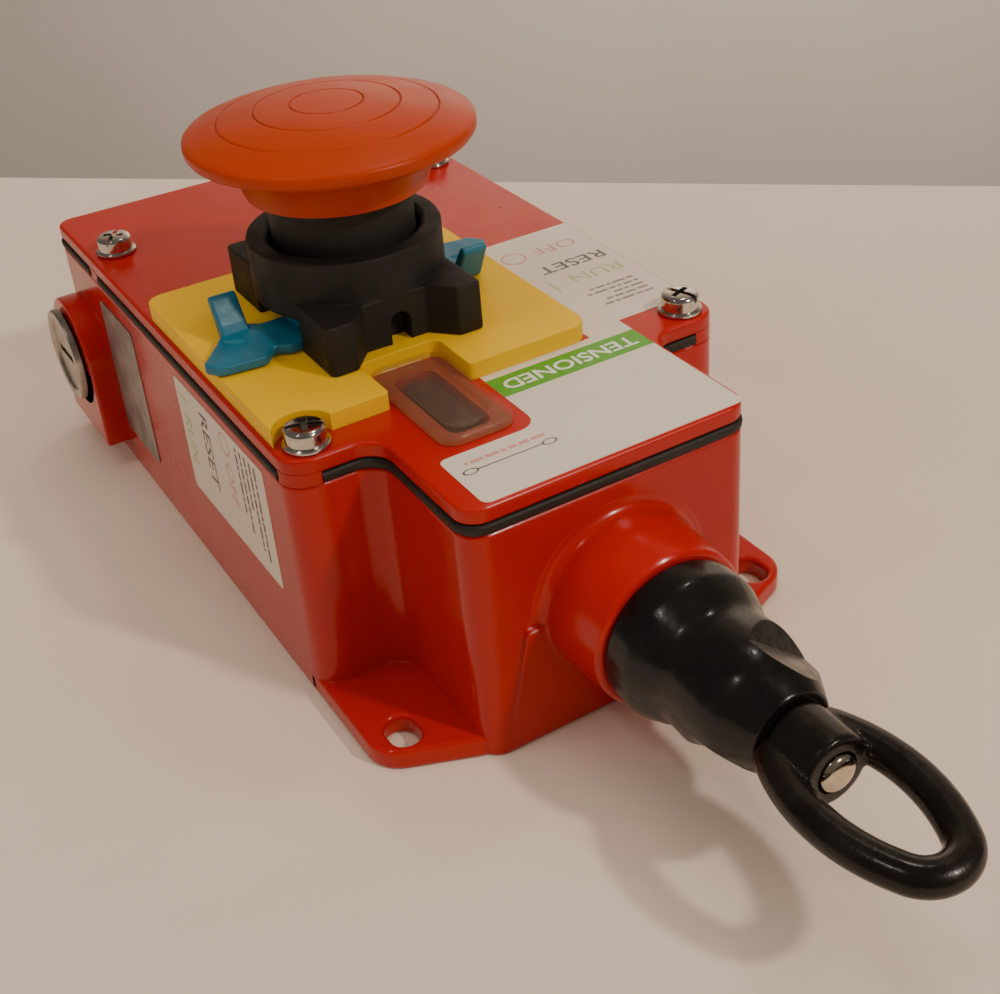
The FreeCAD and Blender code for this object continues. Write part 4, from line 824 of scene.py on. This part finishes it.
class PULLSWITCH_OT_eye(bpy.types.Operator):
    """The cast swivel eye: a boss and an oval ring of round bar, melted together by casting."""
    bl_idname = "pullswitch.eye"
    bl_label = "Swivel eye"

    def execute(self, context):
        a, b, r, bar = 19.4, 9.9, 6.8, 3.2
        mid = EYE_BACK + 17.2
        big = ((a - r) ** 2 + b * b - r * r) / (2 * (b - r))
        lift = big - b
        turn = math.atan2(a - r, lift)
        clear()
        bpy.ops.mesh.primitive_circle_add(vertices=28, radius=bar * MM, fill_type="NOTHING",
                                          rotation=(math.pi / 2, 0, 0))
        ring = bpy.context.object
        ring.name = ring.data.name = "swivel_eye_casting"
        bpy.ops.object.transform_apply(location=True, rotation=True, scale=True)
        start = Vector((mid, b, SHAFT_Z))
        ring.data.transform(Matrix.Translation(start * MM) @ Matrix.Rotation(math.pi / 2, 4, "Z")
                            @ Matrix.Diagonal((3.5 / bar, 1, 1, 1)))
        only(ring)
        bpy.ops.object.mode_set(mode="EDIT")
        bpy.ops.mesh.select_all(action="SELECT")
        arcs = [((mid, -lift), turn, 12), ((mid + a - r, 0), math.pi - 2 * turn, 22),
                ((mid, lift), 2 * turn, 24), ((mid - a + r, 0), math.pi - 2 * turn, 22),
                ((mid, -lift), turn, 12)]
        for (cx, cy), sweep, steps in arcs:
            bpy.ops.mesh.spin(steps=steps, angle=sweep, center=Vector((cx, cy, SHAFT_Z)) * MM, axis=(0, 0, 1),
                              use_auto_merge=False)
        bpy.ops.mesh.select_all(action="SELECT")
        bpy.ops.mesh.remove_doubles(threshold=5e-6)
        bpy.ops.mesh.select_all(action="SELECT")
        bpy.ops.mesh.normals_make_consistent(inside=False)
        bpy.ops.object.mode_set(mode="OBJECT")
        boss = turned("boss", [(0, EYE_BACK), (6.5, EYE_BACK), (7, EYE_BACK + 0.5), (7, EYE_FACE - 0.6),
                               (6.5, EYE_FACE), (0, EYE_FACE)], (0, 0, SHAFT_Z), "X", 64)
        cut(ring, boss, kind="UNION")
        cut(ring, block("trim", EYE_BACK - 20, EYE_BACK, -30, 30, 0, 60))
        apply(ring, "REMESH", mode="VOXEL", voxel_size=0.38 * MM)
        apply(ring, "SMOOTH", factor=0.5, iterations=9)
        cut(ring, turned("seat", [(0, EYE_BACK - 2), (3.05, EYE_BACK - 2), (3.05, EYE_FACE - 1.6),
                                  (3.9, EYE_FACE - 1.0), (4.6, EYE_FACE + 1), (0, EYE_FACE + 1)],
                         (0, 0, SHAFT_Z), "X", 48))
        done(ring, FINISH["eye"], "eye", "swivel_eye", slot="black_enamel", angle=60, weighted=False)

        profile = [(0, -66), (3.4, -66), (4, -65.4), (4, EYE_BACK - 0.15), (3, EYE_BACK - 0.15),
                   (3, EYE_FACE - 1.5), (3.75, EYE_FACE - 0.9), (3.75, EYE_FACE + 0.1), (3.5, EYE_FACE + 0.6),
                   (2.9, EYE_FACE + 1.05), (1.9, EYE_FACE + 1.35), (0, EYE_FACE + 1.5)]
        shaft = turned("pull_shaft_turned", profile, (0, 0, SHAFT_Z), "X", 64)
        done(shaft, FINISH["steel"], "shaft", "pull_shaft", slot="bright_steel", angle=40)
        return {"FINISHED"}


def worded(words, width, height, spot, right, up, ink, name, weight=0.0, lift=0.0):
    """Generic words printed on a face: made flat, sized in millimetres and laid in place."""
    clear()
    bpy.ops.object.text_add(location=(0, 0, 0))
    text = bpy.context.object
    text.data.body = words
    text.data.extrude = bpy.context.scene.switch_sizes.print_rise
    text.data.offset = weight
    text.data.resolution_u = 3
    bpy.ops.object.convert(target="MESH")
    piece = bpy.context.object
    piece.name = piece.data.name = name
    low = [min(v.co[i] for v in piece.data.vertices) for i in range(3)]
    high = [max(v.co[i] for v in piece.data.vertices) for i in range(3)]
    thick = bpy.context.scene.switch_sizes.print_rise
    size = Matrix.Diagonal((width * MM / (high[0] - low[0]), height * MM / (high[1] - low[1]),
                            thick / (high[2] - low[2]), 1))
    piece.data.transform(size @ Matrix.Translation((-low[0], -low[1], -low[2])))
    laid(piece, spot, right, up)
    return done(piece, FINISH[ink], "enclosure", angle=20, weighted=False)


def lines(name, rows, right, up, ink, thick=0.34):
    """Rows of fine print too small to read, each a broken bar: spot, length and a seed for its gaps."""
    rise = bpy.context.scene.switch_sizes.print_rise / MM
    bars = []
    for spot, length, seed in rows:
        at = 0.0
        while at < length - 0.6:
            word = min(1.2 + (seed * 7 % 5) * 0.55, length - at)
            bar = block("bar", at, at + word, 0, thick, 0, rise)
            bars.append(laid(bar, spot, right, up))
            at += word + 0.5
            seed = (seed * 5 + 3) % 11
    piece = join(name, *bars)
    return done(piece, FINISH[ink], "enclosure", angle=20, weighted=False)


class PULLSWITCH_OT_labels(bpy.types.Operator):
    """The printed labels of the cover and the near wall, and the blank nameplate."""
    bl_idname = "pullswitch.labels"
    bl_label = "Labels"

    def execute(self, context):
        film = context.scene.switch_sizes.film / MM
        rise = context.scene.switch_sizes.print_rise / MM
        top = LID_TOP + film
        outline = [(7, 22), (53.2, 22), (60.8, 22), (60.8, -5.2), (83.6, -5.2), (83.6, -27.6), (101.0, -27.6),
                   (101.0, 31.4), (57.9, 31.4), (57.9, 47.4), (54.8, 50.6), (7, 50.6)]
        label = slab("cover_label", outline, LID_TOP, top,
                     [(4, 4.0), (5, 1.6), (6, 1.8), (7, 1.8), (9, 1.5), (10, 1.0)], steps=6)
        done(label, FINISH["film"], "enclosure", angle=20, weighted=False)
        right, up = (0, -1, 0), (1, 0, 0)
        band = slab("cover_band", [(63.2, -5.2), (71.0, -5.2), (71.0, 31.4), (63.2, 31.4)], top, top + rise)
        done(band, FINISH["green_ink"], "enclosure", angle=20, weighted=False)
        z = top + rise * 0.9
        worded("TENSIONED", 32.1, 4.0, (65.1, 29.1, z), right, up, "white_ink", "band_words", 0.018)
        worded("RESET", 17.5, 4.0, (25.0, 48.4, top), right, up, "dark_ink", "reset_words", 0.008)
        worded("OFF", 11.6, 4.0, (15.0, 46.8, top), right, up, "pale_red_ink", "off_words")
        worded("RUN", 13.3, 4.2, (32.8, 47.9, top), right, up, "pale_green_ink", "run_words", 0.005)
        worded("I", 0.6, 5.6, (32.9, 29.6, top), right, up, "pale_green_ink", "run_mark")
        ring = turned("off_mark", [(2.6, top), (3.1, top), (3.1, top + rise), (2.6, top + rise), (2.6, top)],
                      (17.0, 29.8, 0), "Z", 48)
        done(ring, FINISH["pale_red_ink"], "enclosure", angle=20, weighted=False)
        rows = [((41.6 + 2.0 * i, 46.5, top), (12.5, 14.5, 9.0, 11.5, 13.5)[i], 3 + 2 * i) for i in range(5)]
        lines("cover_fine_print", rows, right, up, "grey_ink", 0.75)
        rows = [((87.0, -6.5, top), 17.5, 4)]
        lines("cover_caption_bars", rows, right, up, "pale_red_ink", 1.0)

        # A plain picture of the pull line: a rope with a loop at each end.
        rope = block("rope", 90.1, 90.4, -22.6, -8.6, top, top + rise)
        loops = []
        for y in (-7.0, -24.2):
            loop = turned("loop", [(0.75, top), (1.0, top), (1.0, top + rise), (0.75, top + rise),
                                   (0.75, top)], (0, 0, 0), "Z", 32)
            loop.data.transform(Matrix.Translation(Vector((90.25, y, 0)) * MM)
                                @ Matrix.Diagonal((1, 1.7, 1, 1)))
            loops.append(loop)
        picture = join("pull_line_picture", rope, *loops)
        done(picture, FINISH["dark_ink"], "enclosure", angle=20, weighted=False)

        # The near wall's label reads downwards.
        y = -WIDE
        side = slab("side_label", [(0, 0), (29.3, 0), (29.3, 50.0), (0, 50.0)], 0, film,
                    [(0, 1), (1, 1), (2, 1), (3, 1)], steps=4)
        laid(side, (3.0, y, 50.8), (0, 0, -1), (1, 0, 0))
        done(side, FINISH["film"], "enclosure", angle=20, weighted=False)
        right, up = (0, 0, -1), (1, 0, 0)
        face = y - film
        worded("RUN", 12.3, 4.4, (5.5, face, 42.2), right, up, "pale_green_ink", "side_run_words", 0.005)
        worded("I", 0.6, 5.8, (4.5, face, 47.2), right, up, "pale_green_ink", "side_run_mark")
        worded("RESET", 18.8, 4.6, (17.2, face, 48.0), right, up, "dark_ink", "side_reset_words", 0.008)
        worded("OFF", 11.0, 4.2, (29.6, face, 41.8), right, up, "pale_red_ink", "side_off_words", 0.004)
        mark = turned("side_off_mark", [(2.3, face), (2.8, face), (2.8, face - rise), (2.3, face - rise),
                                        (2.3, face)], (31.4, 0, 46.6), "Y", 48)
        done(mark, FINISH["pale_red_ink"], "enclosure", angle=20, weighted=False)
        rows = [((37.6 + 2.5 * i, face, 49.2), (17.0, 20.5, 13.0, 22.0, 24.0)[i], 5 + 3 * i)
                for i in range(5)]
        lines("side_fine_print", rows, right, up, "dark_ink", 0.95)

        plate = slab("blank_nameplate", [(0, 0), (37.0, 0), (37.0, 23.6), (0, 23.6)], 0, 0.3,
                     [(0, 1.5), (1, 1.5), (2, 1.5), (3, 1.5)], steps=4)
        laid(plate, (-50.2, y, 48.6), (0, 0, -1), (1, 0, 0))
        soften(plate, 0.1, 2)
        done(plate, FINISH["nameplate"], "enclosure", angle=30)
        rows = [((-47.6 + 3.6 * i, y - 0.3, 46.4), (31.0, 24.0, 29.0, 18.0, 30.0, 26.0)[i], 2 + 3 * i)
                for i in range(6)]
        lines("nameplate_rules", rows, right, up, "grey_ink", 0.6)
        return {"FINISHED"}


class PULLSWITCH_OT_inside(bpy.types.Operator):
    """The finishes of the plain parts that stay as they are: nut, bush, spring and switching parts."""
    bl_idname = "pullswitch.inside"
    bl_label = "Inner parts"

    def execute(self, context):
        kept = {
            "bushing_nut": "nylon", "shaft_bush": "acetal", "spring_seat": "steel",
            "cam_block": "acetal", "indicator_flag": "sheet", "carrier_plate": "sheet",
            "contact_block_left": "phenolic", "contact_block_right": "phenolic",
            "terminal_screws_left": "brass", "terminal_screws_right": "brass",
            "plunger_left": "acetal", "plunger_right": "acetal", "earth_screw": "earth",
        }
        for node, finish in kept.items():
            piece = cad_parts[node]
            for slot in piece.material_slots:
                slot.material = FINISH[finish]

        # The spring is copied from its plain node, welded and given its own finish and mesh.
        coil = twin(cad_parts["main_spring"], "main_spring_coil")
        only(coil)
        bpy.ops.object.mode_set(mode="EDIT")
        bpy.ops.mesh.select_all(action="SELECT")
        bpy.ops.mesh.remove_doubles(threshold=WELD)
        bpy.ops.object.mode_set(mode="OBJECT")
        done(coil, FINISH["spring"], "enclosure", "main_spring", slot="spring_steel", weighted=False)
        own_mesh(coil)
        return {"FINISHED"}


class PULLSWITCH_OT_stage(bpy.types.Operator):
    """The table, the soft lights and the camera of the photograph."""
    bl_idname = "pullswitch.stage"
    bl_label = "Stage"

    def execute(self, context):
        clear()
        bpy.ops.mesh.primitive_plane_add(size=3.0, location=(0, 0, 0))
        table = bpy.context.object
        table.name = table.data.name = "table"
        bpy.ops.object.mode_set(mode="EDIT")
        bpy.ops.mesh.select_all(action="SELECT")
        edge = Vector((-0.1552, 0.1244, 0))
        bpy.ops.mesh.bisect(plane_co=edge, plane_no=(0.745, -0.667, 0), clear_inner=True)
        bpy.ops.mesh.select_all(action="SELECT")
        bpy.ops.object.mode_set(mode="OBJECT")
        table.data.materials.append(FINISH["cloth"])

        world = bpy.data.worlds.new("room") if not context.scene.world else context.scene.world
        context.scene.world = world
        world.use_nodes = True
        world.node_tree.nodes.clear()
        tree = world.node_tree
        ground = add(tree, "Background", {"Color": linear("#D8CCC2"), "Strength": 0.2})
        add(tree, "OutputWorld", {"Surface": ground.outputs[0]})

        # The pale wall stands well behind the table; its foot is below the table's edge.
        wall = slab("wall", [(-2.2, -1.0), (2.2, -1.0), (2.2, 2.0), (-2.2, 2.0)], 0, 0)
        wall.data.transform(Matrix.Diagonal((1000, 1000, 1000, 1)))
        laid(wall, (-960, 860, 0), (0.667, 0.745, 0), (0, 0, 1))
        wall.data.materials.append(FINISH["plaster"])

        # Name, place, aim, size, watts, colour and whether shiny surfaces show it.
        middle = (0.03, 0, 0.04)
        lamps = [
            ("key", (0.965, 0.48, 0.95), middle, 0.08, 8.2, "#FFF2E2", True),
            ("ceiling", (-0.1, 0.1, 1.7), middle, 1.5, 12.8, "#FFEFDF", False),
            ("side", (-0.2, -1.3, 0.8), middle, 0.9, 5.5, "#FFF4EC", False),
            ("front", (1.2, -0.2, 0.7), middle, 0.8, 3.5, "#FFF0E2", False),
            ("spot_rear", (-0.35, 0.55, 1.5), middle, 0.1, 1.6, "#FFF2E2", True),
            ("spot_left", (0.15, -0.75, 1.4), middle, 0.1, 1.4, "#FFF2E2", True),
            ("wall_wash", (-0.60, 0.53, 0.5), (-0.96, 0.86, -0.15), 0.8, 9.0, "#FFF3E8", False),
        ]
        for name, spot, goal, size, power, colour, shows in lamps:
            clear()
            bpy.ops.object.light_add(type="AREA", location=spot)
            lamp = bpy.context.object
            lamp.name = name
            lamp.data.size = size
            lamp.data.energy = power
            lamp.data.color = linear(colour)[:3]
            aim = Vector(goal) - Vector(spot)
            lamp.rotation_euler = aim.to_track_quat("-Z", "Y").to_euler()
            lamp.visible_glossy = shows

        clear()
        bpy.ops.object.camera_add()
        camera = bpy.context.object
        right = Vector((0.53505, 0.84282, -0.05818))
        down = Vector((0.42097, -0.32569, -0.84659))
        forward = Vector((-0.73247, 0.42847, -0.52906))
        turn = Matrix((right, -down, -forward)).transposed().to_4x4()
        camera.matrix_world = Matrix.Translation(Vector((293.58112, -127.32698, 207.41876)) * MM) @ turn
        camera.data.lens = 53.0737
        camera.data.sensor_width = 36.0
        camera.data.shift_x = -0.043048
        camera.data.shift_y = -0.057799
        camera.data.clip_start = 0.01
        context.scene.camera = camera
        return {"FINISHED"}


OPERATORS = (
    PULLSWITCH_OT_casting, PULLSWITCH_OT_lid, PULLSWITCH_OT_screws, PULLSWITCH_OT_plate, PULLSWITCH_OT_window,
    PULLSWITCH_OT_guard, PULLSWITCH_OT_lever, PULLSWITCH_OT_button, PULLSWITCH_OT_plug, PULLSWITCH_OT_boot,
    PULLSWITCH_OT_eye, PULLSWITCH_OT_labels, PULLSWITCH_OT_inside, PULLSWITCH_OT_stage,
)


class PULLSWITCH_PT_panel(bpy.types.Panel):
    bl_label = "Rope pull switch"
    bl_idname = "PULLSWITCH_PT_panel"
    bl_space_type = "VIEW_3D"
    bl_region_type = "UI"
    bl_category = "Pull switch"

    def draw(self, context):
        layout = self.layout
        for group in (context.scene.switch_sizes, context.scene.switch_colours):
            for key in group.bl_rna.properties.keys():
                if key not in ("rna_type", "name"):
                    layout.prop(group, key)
        for operator in OPERATORS:
            layout.operator(operator.bl_idname)


CLASSES = (SwitchSizes, SwitchColours, *OPERATORS, PULLSWITCH_PT_panel)


def register():
    for item in CLASSES:
        bpy.utils.register_class(item)
    bpy.types.Scene.switch_sizes = bpy.props.PointerProperty(type=SwitchSizes)
    bpy.types.Scene.switch_colours = bpy.props.PointerProperty(type=SwitchColours)


def unregister():
    del bpy.types.Scene.switch_colours
    del bpy.types.Scene.switch_sizes
    for item in reversed(CLASSES):
        bpy.utils.unregister_class(item)


def main():
    register()
    FINISH.update(make_finishes())
    for operator in OPERATORS:
        group, name = operator.bl_idname.split(".")
        getattr(getattr(bpy.ops, group), name)()


if __name__ == "__main__":
    main()
